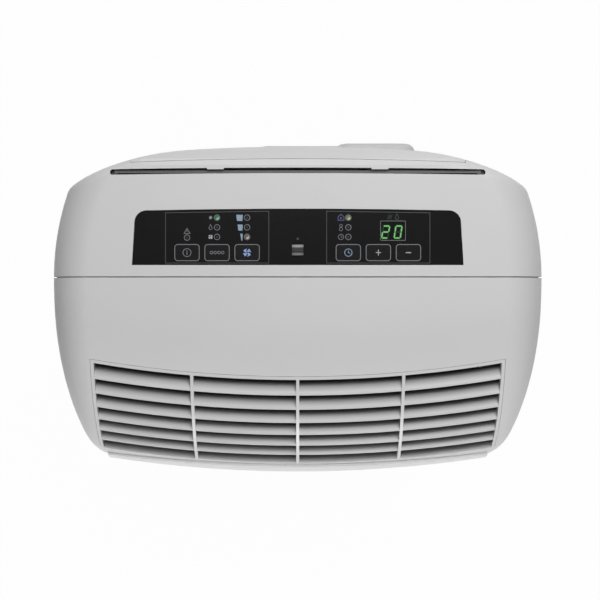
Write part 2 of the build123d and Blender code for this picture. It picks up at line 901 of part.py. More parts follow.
def drain_outlet():
    """Spigot for a drain hose, fed from the tray under the cold coil."""
    outside = wall_y(drain_x) + drain_length
    elbow_y = wall_y(drain_x) - drain_back
    body = bar_y(drain_x, drain_z, elbow_y, outside, drain_radius)
    body += bar_y(drain_x, drain_z, elbow_y, wall_y(drain_x) + drain_collar, drain_neck)
    body += post(drain_x, elbow_y, drain_z, deck_z - seat, drain_neck)
    flange = bar_y(drain_x, drain_z, elbow_y, far, drain_flange) & skin(wall + seat, wall)
    body += flange
    body -= bar_y(drain_x, drain_z, elbow_y, far, drain_bore)
    return body - post(drain_x, elbow_y, drain_z, deck_z, drain_bore)


def drain_plug():
    """Stopper of the base pan's drain."""
    back = wall_y(plug_x)
    shank = bar_y(plug_x, plug_z, back - wall - pan_wall - 4 * seat, back, plug_radius)
    head = bar_y(plug_x, plug_z, back - wall, back + plug_head, plug_radius + plug_lip)
    return shank + (head - casing_form(0.0))


def cord_bush():
    """Grommet of the mains cord's inlet."""
    back = wall_y(cord_x)
    inner = back - 2 * cord_bush_head - wall
    neck = bar_y(cord_x, cord_z, inner, back + cord_bush_head, cord_bush_radius)
    head = bar_y(cord_x, cord_z, back - wall, back + cord_bush_head, cord_bush_radius + cord_bush_lip)
    body = neck + (head - casing_form(0.0))
    return body - bar_y(cord_x, cord_z, 0, far, cord_radius)


def cord_hooks():
    """Two hooks round which the mains cord is wound for storage."""
    hooks = []
    for z, way in ((hook_low, -1), (hook_high, 1)):
        back = wall_y(hook_x)
        x0, x1 = hook_x - hook_width / 2, hook_x + hook_width / 2
        arm = block(x0, x1, back - hook_width, back + hook_reach, z, z + way * hook_thick)
        lip_y = back + hook_reach - hook_thick
        lip = block(x0, x1, lip_y, back + hook_reach, z, z + way * hook_lip)
        low, high = z - way * hook_lip / 2, z + way * hook_lip
        pad = block(x0, x1, back - hook_width, back + hook_thick, low, high)
        hooks.append((arm + lip + pad) - casing_form(0.0))
    return Compound(hooks)


def handle_box(clearance, deep=0.0):
    """Rounded block of the right-hand grip recess, open to the outside."""
    length = handle_length + 2 * clearance
    tall = handle_height + 2 * clearance
    outline = Plane.YZ * Pos(handle_y, handle_z) * RectangleRounded(length, tall, handle_round)
    floor_x = side_point(side_rear_radius, half_width, handle_y)[0] - handle_depth + deep
    return Pos(floor_x, 0, 0) * extrude(outline, far)


def side_handle():
    """Right-hand grip recess, clipped in the rear shell from inside."""
    cup = handle_box(0.0) & casing_form(0.0)
    rim = handle_box(handle_rim) & skin(wall + seat, handle_wall)
    return cup + rim - handle_box(-handle_wall, handle_wall)


# ---------------------------------------------------------------- base and castors
def castor_places():
    """Stem places of the four castors, by name."""
    return {
        "front_left": (-castor_x, castor_front_y),
        "front_right": (castor_x, castor_front_y),
        "rear_left": (-castor_x, castor_rear_y),
        "rear_right": (castor_x, castor_rear_y),
    }


def base_pan():
    """Base with a wall inside the shells, castor sockets and the sump's drain hole."""
    outer = casing_form(wall + seat) & block(-far, far, -far, far, pan_bottom, pan_top)
    inner = casing_form(wall + seat + pan_wall) & block(-far, far, -far, far, pan_floor_top, far)
    pan = outer - inner
    top = pan_floor_top + castor_socket_height
    for x, y in castor_places().values():
        pan += post(x, y, pan_bottom, top, castor_socket)
        pan -= post(x, y, 0, top - pan_floor, castor_stem + slip)
    pan -= bar_y(plug_x, plug_z, rear_zone_y, far, plug_radius + slip)
    return pan - screw_holes(slip)


def castor_fork(x, y):
    """Swivelling part of a castor: stem, head, middle web and hood."""
    axle_y = y - castor_trail
    stem_top = pan_floor_top + castor_socket_height - pan_floor - seat
    body = post(x, y, castor_top - castor_head_thick, stem_top, castor_stem)
    body += post(x, y, castor_top - castor_head_thick, castor_top, castor_head)
    half = castor_web / 2
    hood_inner = castor_wheel_radius + 2 * castor_gap
    hood_outer = castor_top - castor_head_thick / 2 - castor_z
    span = half + castor_gap + castor_wheel_width
    hood = bar_x(axle_y, castor_z, x - span, x + span, hood_outer)
    hood -= bar_x(axle_y, castor_z, x - far, x + far, hood_inner)
    hood &= block(-far, far, -far, far, castor_z, castor_top)
    web = bar_x(axle_y, castor_z, x - half, x + half, hood_inner + castor_gap)
    web &= block(-far, far, -far, far, castor_z - 2 * castor_axle, castor_top)
    return body + hood + web - bar_x(axle_y, castor_z, x - far, x + far, castor_axle + slip)


def castor_wheel(x, y):
    """Twin wheels of a castor on their axle."""
    axle_y = y - castor_trail
    inner = castor_web / 2 + castor_gap
    outer = inner + castor_wheel_width
    body = bar_x(axle_y, castor_z, x - outer, x + outer, castor_axle)
    for way in (-1, 1):
        rim = bar_x(axle_y, castor_z, x + way * inner, x + way * outer, castor_wheel_radius)
        body += chamfer(rim.edges().filter_by(GeomType.CIRCLE), castor_chamfer)
    return body


# ---------------------------------------------------------------- cold and hot compartment
def mid_deck():
    """Deck between the compartments, with the drip tray's rim under the cold coil."""
    edge = casing_form(wall + tongue_thick + 2 * seat)
    deck = edge & block(-far, far, -far, far, deck_z, deck_top)
    x = coil_half + tray_margin
    y0, y1 = cold_coil_y - tray_margin, cold_coil_y + cold_coil_depth + coil_plate_lip + seat + tray_wall
    tray = block(-x, x, y0, y1, deck_z, deck_top + tray_rim)
    tray -= block(-x + tray_wall, x - tray_wall, y0 + tray_wall, y1 - tray_wall, deck_top, far)
    deck = deck + tray
    for px, py in (suction_drop, liquid_drop):
        deck -= post(px, py, 0, far, pipe_hole)
    return deck - post(drain_x, wall_y(drain_x) - drain_back, 0, far, drain_bore)


def coil(y, depth, base, top):
    """Finned coil: fin block, two end plates and the return bends of its tubes."""
    body = block(-coil_half, coil_half, y, y + depth, base, top)
    plate = block(coil_half, coil_half + coil_plate, y - coil_plate_lip, y + depth + coil_plate_lip,
                  base - coil_plate_lip, top + coil_plate_lip)
    body = body + plate + mirrored(plate)
    bends = int((top - base) / (4 * coil_bend))
    pitch = (top - base) / bends
    for i in range(bends):
        centre = (coil_half + coil_plate, y + depth / 2, base + pitch * (i + 0.5))
        loop = Pos(*centre) * Rot(90, 0, 0) * Torus(coil_bend, coil_tube)
        loop &= block(coil_half + coil_plate / 2, far, -far, far, 0, far * 2)
        body += loop
        body += mirrored(loop)
    return body


def turned(x, z, angle, shape):
    """A piece drawn beside the Y axis, turned about it and moved to a shaft's place."""
    return Pos(x, 0, z) * Rot(0, angle, 0) * shape


def blower_wheel(x, z, y0, wide, radius, motor_end):
    """Drum rotor with its shaft: back disc, blades, front ring and hub."""
    y1 = y0 + wide
    body = bar_y(x, z, y0, y0 + fan_disc, radius)
    body += bar_y(x, z, motor_end, y0 + wide / 2, shaft_radius)
    body += bar_y(x, z, y0, y0 + wide / 3, fan_hub)
    ring = bar_y(x, z, y1 - fan_disc, y1, radius) - bar_y(x, z, 0, far, radius - blade_chord)
    half = fan_blade_thick / 2
    vane = block(0, blade_chord, y0 + fan_disc / 2, y1 - fan_disc / 2, -half, half)
    vane = Pos(radius - blade_chord, 0, 0) * Rot(0, blade_tilt, 0) * vane
    step = 360 / blade_count
    vanes = [turned(x, z, step * i, vane) for i in range(blade_count)]
    return body + ring + vanes


def fan_motor(x, z, y0, y1, radius, foot_z):
    """Fan motor with a bored end for the shaft, on a foot from what carries it."""
    body = bar_y(x, z, y0, y1, radius)
    middle = (y0 + y1) / 2
    foot = block(x - motor_foot, x + motor_foot, middle - motor_foot, middle + motor_foot, foot_z, z)
    return body + foot - bar_y(x, z, y0 + motor_end_wall, far, shaft_radius + slip)


def blower(centre, scroll, wheel, motor, foot_z):
    """Rotor and motor of one blower, the rotor midway in its scroll."""
    x, z = centre
    scroll_y, depth = scroll
    wide, radius = wheel
    motor_y = scroll_y - motor_gap
    motor_end = motor_y - motor[0]
    rotor_y = scroll_y + (depth - wide) / 2
    rotor = blower_wheel(x, z, rotor_y, wide, radius, motor_end + 2 * motor_end_wall)
    return rotor, fan_motor(x, z, motor_end, motor_y, motor[1], foot_z)


def cold_duct(inset):
    """Flared air guide from the upper scroll to the louvres."""
    low, high = duct_low_half - inset, duct_top_half - inset
    corners = [(-low, duct_base + inset), (low, duct_base + inset), (high, height), (-high, height)]
    outline = Plane.XZ * make_face(Polyline(*corners, close=True))
    body = Pos(0, duct_back - inset, 0) * extrude(outline, duct_back - duct_front - 2 * inset)
    return body & casing_form(duct_inset + inset)


def cold_scroll():
    """Upper blower's housing: drum, air guide, shaft hole and inlet eye."""
    y0, y1 = cold_fan_y, cold_fan_y + cold_fan_depth
    body = bar_y(0, cold_fan_z, y0, y1, cold_scroll_radius) + cold_duct(0.0)
    foot_top = cold_fan_z - cold_scroll_radius + wall
    body += block(-scroll_foot, scroll_foot, y0, y1, deck_top + seat, foot_top)
    inner = bar_y(0, cold_fan_z, y0 + scroll_wall, y1 - scroll_wall, cold_scroll_radius - scroll_wall)
    body = body - (inner + cold_duct(scroll_wall))
    body -= bar_y(0, cold_fan_z, y0 + scroll_wall, far, cold_eye)
    body -= bar_y(0, cold_fan_z, -far, 0, shaft_radius + motor_gap)
    mouth = brow_wedge(outlet_start, outlet_end, grille_room, far) & width_band(outlet_half)
    return body - mouth


def hot_scroll():
    """Lower blower's housing: drum and a duct that rises and turns to the hose socket."""
    y0, y1 = hot_fan_y, hot_fan_y + hot_fan_depth
    inner_r = hot_scroll_radius - scroll_wall
    x0, x1 = socket_x - exhaust_half, socket_x + exhaust_half
    t = scroll_wall
    body = bar_y(hot_fan_x, hot_fan_z, y0, y1, hot_scroll_radius)
    body += block(x0, x1, y0, y1, hot_fan_z, exhaust_top)
    body += block(x0, x1, y0, exhaust_back, exhaust_turn, exhaust_top)
    body += block(hot_fan_x - scroll_foot, hot_fan_x + scroll_foot, y0, y1, pan_floor_top + seat,
                  hot_fan_z - hot_scroll_radius + wall)
    hollow = bar_y(hot_fan_x, hot_fan_z, y0 + t, y1 - t, inner_r)
    hollow += block(x0 + t, x1 - t, y0 + t, y1 - t, hot_fan_z, exhaust_top - t)
    hollow += block(x0 + t, x1 - t, y0 + t, exhaust_back - t, exhaust_turn + t, exhaust_top - t)
    body -= hollow
    body -= bar_y(hot_fan_x, hot_fan_z, 0, y1 + t, hot_eye)
    body -= bar_y(socket_x, socket_z, y1, far, socket_radius)
    return body - bar_y(hot_fan_x, hot_fan_z, -far, 0, shaft_radius + motor_gap)


# ---------------------------------------------------------------- refrigerant circuit
def mount_places():
    """Plan places of the compressor's three rubber mounts."""
    spots = []
    for turn in (90, 210, 330):
        x = compressor_x + compressor_foot_pitch * cos(radians(turn))
        spots.append((x, compressor_y + compressor_foot_pitch * sin(radians(turn))))
    return spots


def compressor():
    """Sealed compressor on a three-cornered foot plate."""
    base = pan_floor_top + mount_height
    plate = RegularPolygon(compressor_foot_pitch + 2 * mount_radius, 3, rotation=90)
    plate = fillet(plate.vertices(), mount_radius)
    body = Pos(compressor_x, compressor_y, base) * extrude(plate, compressor_plate)
    can = post(compressor_x, compressor_y, base, base + compressor_height, compressor_radius)
    body += fillet(can.edges().sort_by(Axis.Z)[-1], compressor_dome)
    return body + post(compressor_x, compressor_y, base, compressor_top, discharge_radius * 2)


def compressor_mounts():
    """Three rubber bushes between the foot plate and the base pan."""
    top = pan_floor_top + mount_height
    return Compound([post(x, y, pan_floor_top, top, mount_radius) for x, y in mount_places()])


def pipe(points, radius):
    """A bent tube along straight runs with round corners."""
    path = FilletPolyline(*points, radius=bend_radius)
    start = Vector(*points[1]) - Vector(*points[0])
    section = Plane(origin=points[0], z_dir=start) * Circle(radius)
    return sweep(section, path=path)


def accumulator():
    """Suction accumulator, carried by its stout outlet pipe on the compressor's side."""
    can = post(accumulator_x, accumulator_y, accumulator_base, accumulator_top, accumulator_radius)
    can = fillet(can.edges(), accumulator_radius * 0.45)
    away = Vector(accumulator_x - compressor_x, accumulator_y - compressor_y, 0).normalized()
    port = Vector(compressor_x, compressor_y, 0) + away * compressor_radius
    level = accumulator_base - 2 * bend_radius
    points = [
        (accumulator_x, accumulator_y, accumulator_base + 1),
        (accumulator_x, accumulator_y, level),
        (port.X, port.Y, level),
    ]
    return can + pipe(points, suction_radius)


def suction_pipe():
    """Cold gas from the upper coil down to the accumulator."""
    x, y = suction_drop
    return pipe([
        (x, cold_coil_y, pipe_high),
        (x, y, pipe_high),
        (x, y, pipe_low),
        (accumulator_x, accumulator_y, pipe_low),
        (accumulator_x, accumulator_y, accumulator_top),
    ], suction_radius)


def discharge_pipe():
    """Hot gas from the compressor's top to the lower coil."""
    level = compressor_top + 2 * bend_radius
    y = hot_coil_y + hot_coil_depth / 2
    return pipe([
        (compressor_x, compressor_y, compressor_top),
        (compressor_x, compressor_y, level),
        (suction_drop[0], y, level),
        (suction_drop[0], y, hot_coil_top),
    ], discharge_radius)


def liquid_pipe():
    """Liquid from the lower coil up to the cold coil."""
    x, y = liquid_drop
    return pipe([
        (x, hot_coil_y + hot_coil_depth / 2, hot_coil_top),
        (x, hot_coil_y + hot_coil_depth / 2, pipe_low),
        (x, y, pipe_low),
        (x, y, pipe_high),
        (x, cold_coil_y, pipe_high),
    ], liquid_radius)


# ---------------------------------------------------------------- condensate
def splash_wheel():
    """Paddle wheel that throws condensate on the hot coil."""
    y0, y1 = splash_y - splash_thick / 2, splash_y + splash_thick / 2
    body = bar_y(splash_x, splash_z, y0, y1, splash_radius * 0.8)
    vane = block(0, splash_radius, y0, y1, -splash_thick / 2, splash_thick / 2)
    body += [turned(splash_x, splash_z, 360 / splash_vanes * i, vane) for i in range(splash_vanes)]
    return body + bar_y(splash_x, splash_z, y0 - splash_motor_length * 0.7, y1, splash_shaft)


def splash_motor():
    """Small motor of the splash wheel, on a foot from the base pan."""
    y1 = splash_y - splash_thick / 2 - motor_gap
    y0 = y1 - splash_motor_length
    body = bar_y(splash_x, splash_z, y0, y1, splash_motor_radius)
    half = splash_motor_radius * 0.6
    body += block(splash_x - half, splash_x + half, y0, y1, pan_floor_top, splash_z - half)
    return body - bar_y(splash_x, splash_z, y0 + motor_gap, far, splash_shaft + slip)


def float_guide():
    """Stem of the full-tank float, with a foot and a stop."""
    foot_top = pan_floor_top + float_foot
    stop = foot_top + float_height + float_lift + 2 * seat
    body = post(float_x, float_y, pan_floor_top, foot_top, float_head)
    body += post(float_x, float_y, foot_top, stop, float_stem)
    return body + post(float_x, float_y, stop, stop + float_foot, float_head)


def float_ring():
    """Ring that rises on the stem when the sump is full."""
    base = pan_floor_top + float_foot + seat
    body = post(float_x, float_y, base, base + float_height, float_radius)
    return body - post(float_x, float_y, 0, far, float_stem + slip)


# ---------------------------------------------------------------- electrics
def control_box():
    """Open electrics box on the deck, with two rails for the main board."""
    z0 = deck_top + seat
    body = block(box_x, box_x + box_length, box_y, box_y + box_depth, z0, z0 + box_height)
    body -= block(box_x + box_wall, far, box_y + box_wall, box_y + box_depth - box_wall,
                  z0 + box_wall, z0 + box_height - box_wall)
    rail_x = box_x + box_wall + main_board_gap
    for z in (z0 + box_wall + main_board_gap, z0 + box_height - box_wall - 2 * main_board_gap):
        body += block(box_x, rail_x, box_y + box_wall, box_y + box_depth - box_wall, z, z + main_board_gap)
    return body


def main_board():
    """Main circuit board with relay, transformer and heat sink."""
    x0 = box_x + box_wall + main_board_gap
    z0 = deck_top + seat + box_wall + seat
    z1 = deck_top + box_height - box_wall - seat
    y0, y1 = box_y + box_wall + seat, box_y + box_depth - box_wall - seat
    x1 = x0 + board_thick
    body = block(x0, x1, y0, y1, z0, z1)
    low, high = z1 - 2 * relay_side, z1 - relay_side / 2
    relay = block(x1, x1 + relay_side, y0 + relay_side, y0 + 2 * relay_side, low, high)
    transformer_y = y1 - relay_side
    transformer = block(x1, x1 + transformer_rise, transformer_y - transformer_depth,
                        transformer_y, low, high)
    return body + relay + transformer


def run_capacitor():
    """Compressor's run capacitor, standing in the electrics box."""
    x = box_x + box_length - capacitor_radius - 2 * box_wall
    z0 = deck_top + seat + box_wall
    return post(x, box_y + box_depth / 2, z0, z0 + capacitor_height, capacitor_radius)


# ---------------------------------------------------------------- casing screws
def screw_planes():
    """Place of each casing screw on the outer surface, square to it."""
    planes = []
    for y, radius in ((screw_front_y, side_front_radius), (screw_rear_y, side_rear_radius)):
        x = side_point(radius, half_width, y)[0]
        out = (x - half_width + radius, y - seam_y, 0)
        planes.append(Plane(origin=(x, y, screw_z), z_dir=out))
        planes.append(Plane(origin=(-x, y, screw_z), z_dir=(-out[0], out[1], 0)))
    for x in (-screw_back_x, screw_back_x):
        out = (x, wall_y(x) - rear_wall_y + rear_mid_radius, 0)
        planes.append(Plane(origin=(x, wall_y(x), screw_z), z_dir=out))
    return planes


def screw_holes(clearance):
    """Tools for the screws' holes."""
    hole = Cylinder(screw_radius + clearance, 2 * screw_length)
    tools = [plane * hole for plane in screw_planes()]
    return tools[0] + tools[1:]


def casing_screws():
    """Screws that hold the shells to the base pan."""
    shank = Pos(0, 0, -screw_length / 2) * Cylinder(screw_radius, screw_length + 2 * seat)
    head = Pos(0, 0, screw_head_thick / 2 + seat) * Cylinder(screw_head, screw_head_thick)
    head = fillet(head.edges().sort_by(Axis.Z)[-1], screw_head_thick * 0.4)
    return Compound([plane * (head + shank) for plane in screw_planes()])


# ---------------------------------------------------------------- write every piece
def main():
    os.makedirs("parts", exist_ok=True)
    save("front_shell", front_shell())
    save("rear_shell", rear_shell() + latch_tabs())
    save("front_panel", front_panel())
    save("outlet_grille", outlet_grille())
    save("fascia", fascia())
    names = ("power", "mode", "fan", "timer", "plus", "minus")
    for name, (x, y) in zip(names, button_centres()):
        save(f"{name}_button", button(x, y))
    save("display_window", window(display_tool))
    save("receiver_window", window(receiver_tool))
    save("control_board", control_board())
    save("intake_grille", intake_grille())
    save("lower_grille", lower_grille())
    save("dust_filter", dust_filter())
    save("filter_guide", filter_guide())
    save("hose_socket", hose_socket())
    save("drain_outlet", drain_outlet())
    save("drain_plug", drain_plug())
    save("cord_bush", cord_bush())
    save("cord_hooks", cord_hooks())
    save("handle_right", side_handle())
    save("handle_left", mirrored(side_handle()))
    save("base_pan", base_pan())
    for name, (x, y) in castor_places().items():
        save(f"castor_fork_{name}", castor_fork(x, y))
        save(f"castor_wheel_{name}", castor_wheel(x, y))
    save("mid_deck", mid_deck())
    save("cold_coil", coil(cold_coil_y, cold_coil_depth, cold_coil_base, cold_coil_top))
    save("hot_coil", coil(hot_coil_y, hot_coil_depth, hot_coil_base, hot_coil_top))
    save("cold_scroll", cold_scroll())
    cold_wheel, cold_motor = blower(
        (0.0, cold_fan_z), (cold_fan_y, cold_fan_depth), (cold_wheel_width, cold_wheel_radius),
        (cold_motor_length, cold_motor_radius), deck_top)
    save("cold_fan", cold_wheel)
    save("cold_motor", cold_motor)
    save("hot_scroll", hot_scroll())
    hot_wheel, hot_motor = blower(
        (hot_fan_x, hot_fan_z), (hot_fan_y, hot_fan_depth), (hot_wheel_width, hot_wheel_radius),
        (hot_motor_length, hot_motor_radius), pan_floor_top)
    save("hot_fan", hot_wheel)
    save("hot_motor", hot_motor)
    save("compressor", compressor())
    save("compressor_mounts", compressor_mounts())
    save("accumulator", accumulator())
    save("suction_pipe", suction_pipe())
    save("discharge_pipe", discharge_pipe())
    save("liquid_pipe", liquid_pipe())
    save("splash_wheel", splash_wheel())
    save("splash_motor", splash_motor())
    save("float_guide", float_guide())
    save("float_ring", float_ring())
    save("control_box", control_box())
    save("main_board", main_board())
    save("run_capacitor", run_capacitor())
    save("casing_screws", casing_screws())


main()
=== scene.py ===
# %% [markdown]
# A floor-standing dehumidifier and air cooler, seen from straight above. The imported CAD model
# is the frame: every piece of it is already in place, in metres. This script gives each
# surface its finish, adds what a mould or a printing screen leaves on the real machine, and
# lights it.

# %% Load the frame
import json
from math import cos, pi, radians, sin
import bmesh
import bpy
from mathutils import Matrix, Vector


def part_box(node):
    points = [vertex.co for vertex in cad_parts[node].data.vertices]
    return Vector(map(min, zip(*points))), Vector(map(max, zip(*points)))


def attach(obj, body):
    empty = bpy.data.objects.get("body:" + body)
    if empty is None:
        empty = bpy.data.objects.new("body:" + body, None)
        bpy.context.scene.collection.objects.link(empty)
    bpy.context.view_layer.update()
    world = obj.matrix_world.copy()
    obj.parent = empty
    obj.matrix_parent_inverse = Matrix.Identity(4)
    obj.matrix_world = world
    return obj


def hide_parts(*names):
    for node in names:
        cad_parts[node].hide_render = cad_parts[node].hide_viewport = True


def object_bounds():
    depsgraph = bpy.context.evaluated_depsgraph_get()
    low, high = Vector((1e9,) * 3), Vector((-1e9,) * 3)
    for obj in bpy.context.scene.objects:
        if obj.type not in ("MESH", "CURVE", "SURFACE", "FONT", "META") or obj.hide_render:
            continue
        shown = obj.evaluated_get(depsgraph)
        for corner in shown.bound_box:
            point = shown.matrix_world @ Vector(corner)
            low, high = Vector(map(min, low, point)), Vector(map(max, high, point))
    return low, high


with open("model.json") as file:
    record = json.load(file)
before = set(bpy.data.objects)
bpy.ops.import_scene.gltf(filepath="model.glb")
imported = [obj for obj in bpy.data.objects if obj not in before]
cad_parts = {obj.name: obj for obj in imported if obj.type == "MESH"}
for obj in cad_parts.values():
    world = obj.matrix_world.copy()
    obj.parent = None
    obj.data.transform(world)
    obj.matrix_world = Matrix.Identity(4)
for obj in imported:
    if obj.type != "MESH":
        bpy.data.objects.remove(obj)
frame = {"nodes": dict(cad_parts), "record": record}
cad_low, cad_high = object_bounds()
mm = 0.001
print("CAD box", tuple(cad_low), tuple(cad_high))

# %% [markdown]
# The camera hangs straight above the machine's middle and looks down, with the front of the
# machine at the bottom of the picture. A long lens keeps the deep body from spreading out
# round the top, as a product picture taken from a few steps away does.

# %% Camera
camera_height = 1.95
camera_data = bpy.data.cameras.new("overhead")
camera_data.lens = 80.16
camera_data.sensor_width = 36.0
camera_data.shift_x = 0.0038
camera = bpy.data.objects.new("overhead", camera_data)
camera.location = (0.0, 0.0, camera_height)
bpy.context.scene.collection.objects.link(camera)
bpy.context.scene.camera = camera
print("camera at", tuple(camera.location))

# %% [markdown]
# Finishes are written as sums. A small class wraps a socket, and an expression on wrapped
# sockets adds the Math nodes that work it out, so that a pattern reads as one line of
# arithmetic. Every other node comes from one function, which takes its type, its settings
# and what goes into its sockets.

# %% Node kit
def add_node(tree, kind, settings=None, inputs=None):
    """Add one node: its settings first, then values or links for its sockets."""
    node = tree.nodes.new(kind)
    for name, value in (settings or {}).items():
        if name == "stops":
            ramp_stops(node.color_ramp, value)
        else:
            setattr(node, name, value)
    for key, value in (inputs or {}).items():
        socket = node.inputs[key]
        if isinstance(value, Value):
            tree.links.new(value.socket, socket)
        elif isinstance(value, bpy.types.NodeSocket):
            tree.links.new(value, socket)
        else:
            socket.default_value = value
    return node


def ramp_stops(ramp, stops):
    """Give a colour ramp its stops, each a place and a colour."""
    while len(ramp.elements) < len(stops):
        ramp.elements.new(1.0)
    for element, (place, colour) in zip(ramp.elements, stops):
        element.position = place
        element.color = colour


class Value:
    """A socket that takes part in ordinary sums."""

    def __init__(self, tree, socket):
        self.tree = tree
        self.socket = socket

    def math(self, operation, *others):
        inputs = dict(enumerate((self, *others)))
        node = add_node(self.tree, "ShaderNodeMath", {"operation": operation}, inputs)
        return Value(self.tree, node.outputs[0])

    def __add__(self, other):
        return self.math("ADD", other)

    def __sub__(self, other):
        return self.math("SUBTRACT", other)

    def __mul__(self, other):
        return self.math("MULTIPLY", other)

    def __truediv__(self, other):
        return self.math("DIVIDE", other)

    def __pow__(self, other):
        return self.math("POWER", other)

    def __neg__(self):
        return self * -1.0

    def __rsub__(self, other):
        return -self + other

    __radd__ = __add__
    __rmul__ = __mul__

    def above(self, limit):
        return self.math("GREATER_THAN", limit)

    def clipped(self, low, high):
        return self.math("MAXIMUM", low).math("MINIMUM", high)


def shade(level):
    """Linear value of a grey or colour channel that is written from 0 to 255."""
    part = level / 255
    return part / 12.92 if part <= 0.04045 else ((part + 0.055) / 1.055) ** 2.4


def colour(red, green, blue):
    """A linear colour from three channels that are written from 0 to 255."""
    return (shade(red), shade(green), shade(blue), 1.0)


print("node kit ready")

# %% [markdown]
# A finish is one Principled shader. What is the same all over the surface, such as a coat,
# is set on the shader itself. What changes over the surface, such as the drift of a tone or
# the grain of a mould, is linked to it. Every pattern reads Object coordinates, so its size
# is the real one in metres.

# %% Finish kit
class Finish:
    """A material in the making."""

    def __init__(self, name, settings):
        self.material = bpy.data.materials.new(name)
        self.material.use_nodes = True
        self.tree = self.material.node_tree
        self.tree.nodes.clear()
        self.shader = add_node(self.tree, "ShaderNodeBsdfPrincipled", {}, settings)
        surface = {"Surface": self.shader.outputs[0]}
        add_node(self.tree, "ShaderNodeOutputMaterial", {}, surface)
        place = add_node(self.tree, "ShaderNodeTexCoord")
        self.place = Value(self.tree, place.outputs["Object"])

    def node(self, kind, settings=None, inputs=None, output=0):
        made = add_node(self.tree, kind, settings, inputs)
        return Value(self.tree, made.outputs[output])

    def stretched(self, x, y, z):
        """Object coordinates, scaled along each axis."""
        return self.node("ShaderNodeMapping", {}, {"Vector": self.place, "Scale": (x, y, z)})

    def noise(self, size, detail=2.0, place=None):
        """Cloudy noise from 0 to 1, whose lumps are about this size in metres."""
        inputs = {"Vector": place or self.place, "Scale": 1 / size, "Detail": detail}
        return self.node("ShaderNodeTexNoise", {}, inputs)

    def blend(self, factor, first, second):
        """One colour going over to another."""
        inputs = {0: factor, 6: first, 7: second}
        return self.node("ShaderNodeMix", {"data_type": "RGBA"}, inputs, output=2)

    def link(self, name, value):
        self.tree.links.new(value.socket, self.shader.inputs[name])

    def relief(self, height, depth, strength=1.0):
        """Small relief, this deep in metres where the height goes from 0 to 1."""
        inputs = {"Height": height, "Distance": depth, "Strength": strength}
        self.link("Normal", self.node("ShaderNodeBump", {}, inputs))


finishes = {}


def keep(name, finish):
    """File a finish under its name."""
    finishes[name] = finish.material
    return finish


print("finish kit ready")

# %% [markdown]
# The casing is moulded in light grey plastic. The mould is spark eroded, which leaves a fine
# even grain that softens every highlight. The tone drifts by a few parts in a hundred
# over a hand's breadth, because the melt never cools quite evenly.

# %% Moulded plastics
def moulded(name, tone, roughness, grain=0.5 * mm, depth=0.012 * mm, drift=0.03, specular=0.5):
    """Moulded plastic with a fine grain and a slow drift of its tone."""
    finish = Finish(name, {"Roughness": roughness, "Specular IOR Level": specular})
    cloud = finish.noise(90 * mm, 3.0)
    speck = finish.noise(3 * mm, 2.0)
    dark = tuple(channel * (1 - drift) for channel in tone[:3]) + (1.0,)
    light = tuple(min(channel * (1 + drift), 1.0) for channel in tone[:3]) + (1.0,)
    finish.link("Base Color", finish.blend(cloud * 0.8 + speck * 0.2, dark, light))
    finish.link("Roughness", roughness + (speck - 0.5) * 0.08)
    finish.relief(finish.noise(grain, 1.0), depth)
    return keep(name, finish)


casing_tone = colour(209, 209, 209)
moulded("casing_plastic", casing_tone, 0.45, specular=0.32)
moulded("dark_plastic", colour(42, 42, 45), 0.50, grain=0.7 * mm, depth=0.03 * mm, drift=0.08)
moulded("filter_plastic", colour(74, 75, 77), 0.45, drift=0.05)
moulded("filter_thread", colour(96, 97, 99), 0.50, drift=0.05)
moulded("castor_nylon", colour(34, 34, 36), 0.38, drift=0.08)
# The duct's near-black tone is partly its own plastic and partly painted shade for the gaps behind
# the louvres; the same finish is painted shade on the intake panel's inner faces.
moulded("duct_plastic_and_painted_shade", colour(30, 30, 32), 0.62, grain=1.2 * mm, depth=0.05 * mm, drift=0.1)
print("moulded plastics:", len(finishes))

# %% [markdown]
# The louvres of the air outlet are moulded in the same grey. Shade is painted into their
# colour: the deeper a point lies under the outlet's surface, the darker its tone, until the
# slot is almost black. How far in a point lies is a matter of geometry: the outlet follows a
# round brow, which is swept about a distant upright axis, so the depth is the brow's radius
# less the distance to its centre.

# %% Louvre plastic
def louvre_plastic(name):
    """Casing plastic with painted shade, darker with its depth under the outlet's surface."""
    crown_axis_y, brow_y, brow_z, brow_radius = 1.040, -0.022, 0.592, 0.158
    finish = Finish(name, {"Specular IOR Level": 0.28})
    x, y, z = (finish.node("ShaderNodeSeparateXYZ", {}, {"Vector": finish.place}, output=i)
               for i in range(3))
    reach = crown_axis_y - (x * x + (y - crown_axis_y) * (y - crown_axis_y)) ** 0.5 - brow_y
    depth = brow_radius - (reach * reach + (z - brow_z) * (z - brow_z)) ** 0.5
    cloud = finish.noise(30 * mm, 3.0) * 0.06 - 0.03
    # Painted shade: the tone falls from the casing grey towards black with depth, in place of the
    # shade inside the slots.
    painted_shade_by_depth = ((0.0, 1.0), (0.15, 0.96), (0.35, 0.74), (0.55, 0.46), (0.8, 0.22), (1.0, 0.06))
    stops = [(at, tuple(channel * part for channel in casing_tone[:3]) + (1.0,))
             for at, part in painted_shade_by_depth]
    tone = finish.node("ShaderNodeValToRGB", {"stops": stops}, {"Fac": depth / (12 * mm) + cloud})
    finish.link("Base Color", tone)
    finish.link("Roughness", 0.34 + (depth / (40 * mm)).clipped(0.0, 0.3))
    finish.relief(finish.noise(0.5 * mm, 1.0), 0.01 * mm)
    return keep(name, finish)


louvre_plastic("louvre_plastic")
print("louvre plastic ready")

# %% [markdown]
# The control fascia is black acrylic with a polished face. Its reflections are weak, so
# the shader's specular level is low, and a very slow ripple in the relief keeps the
# reflections from looking like ground glass.

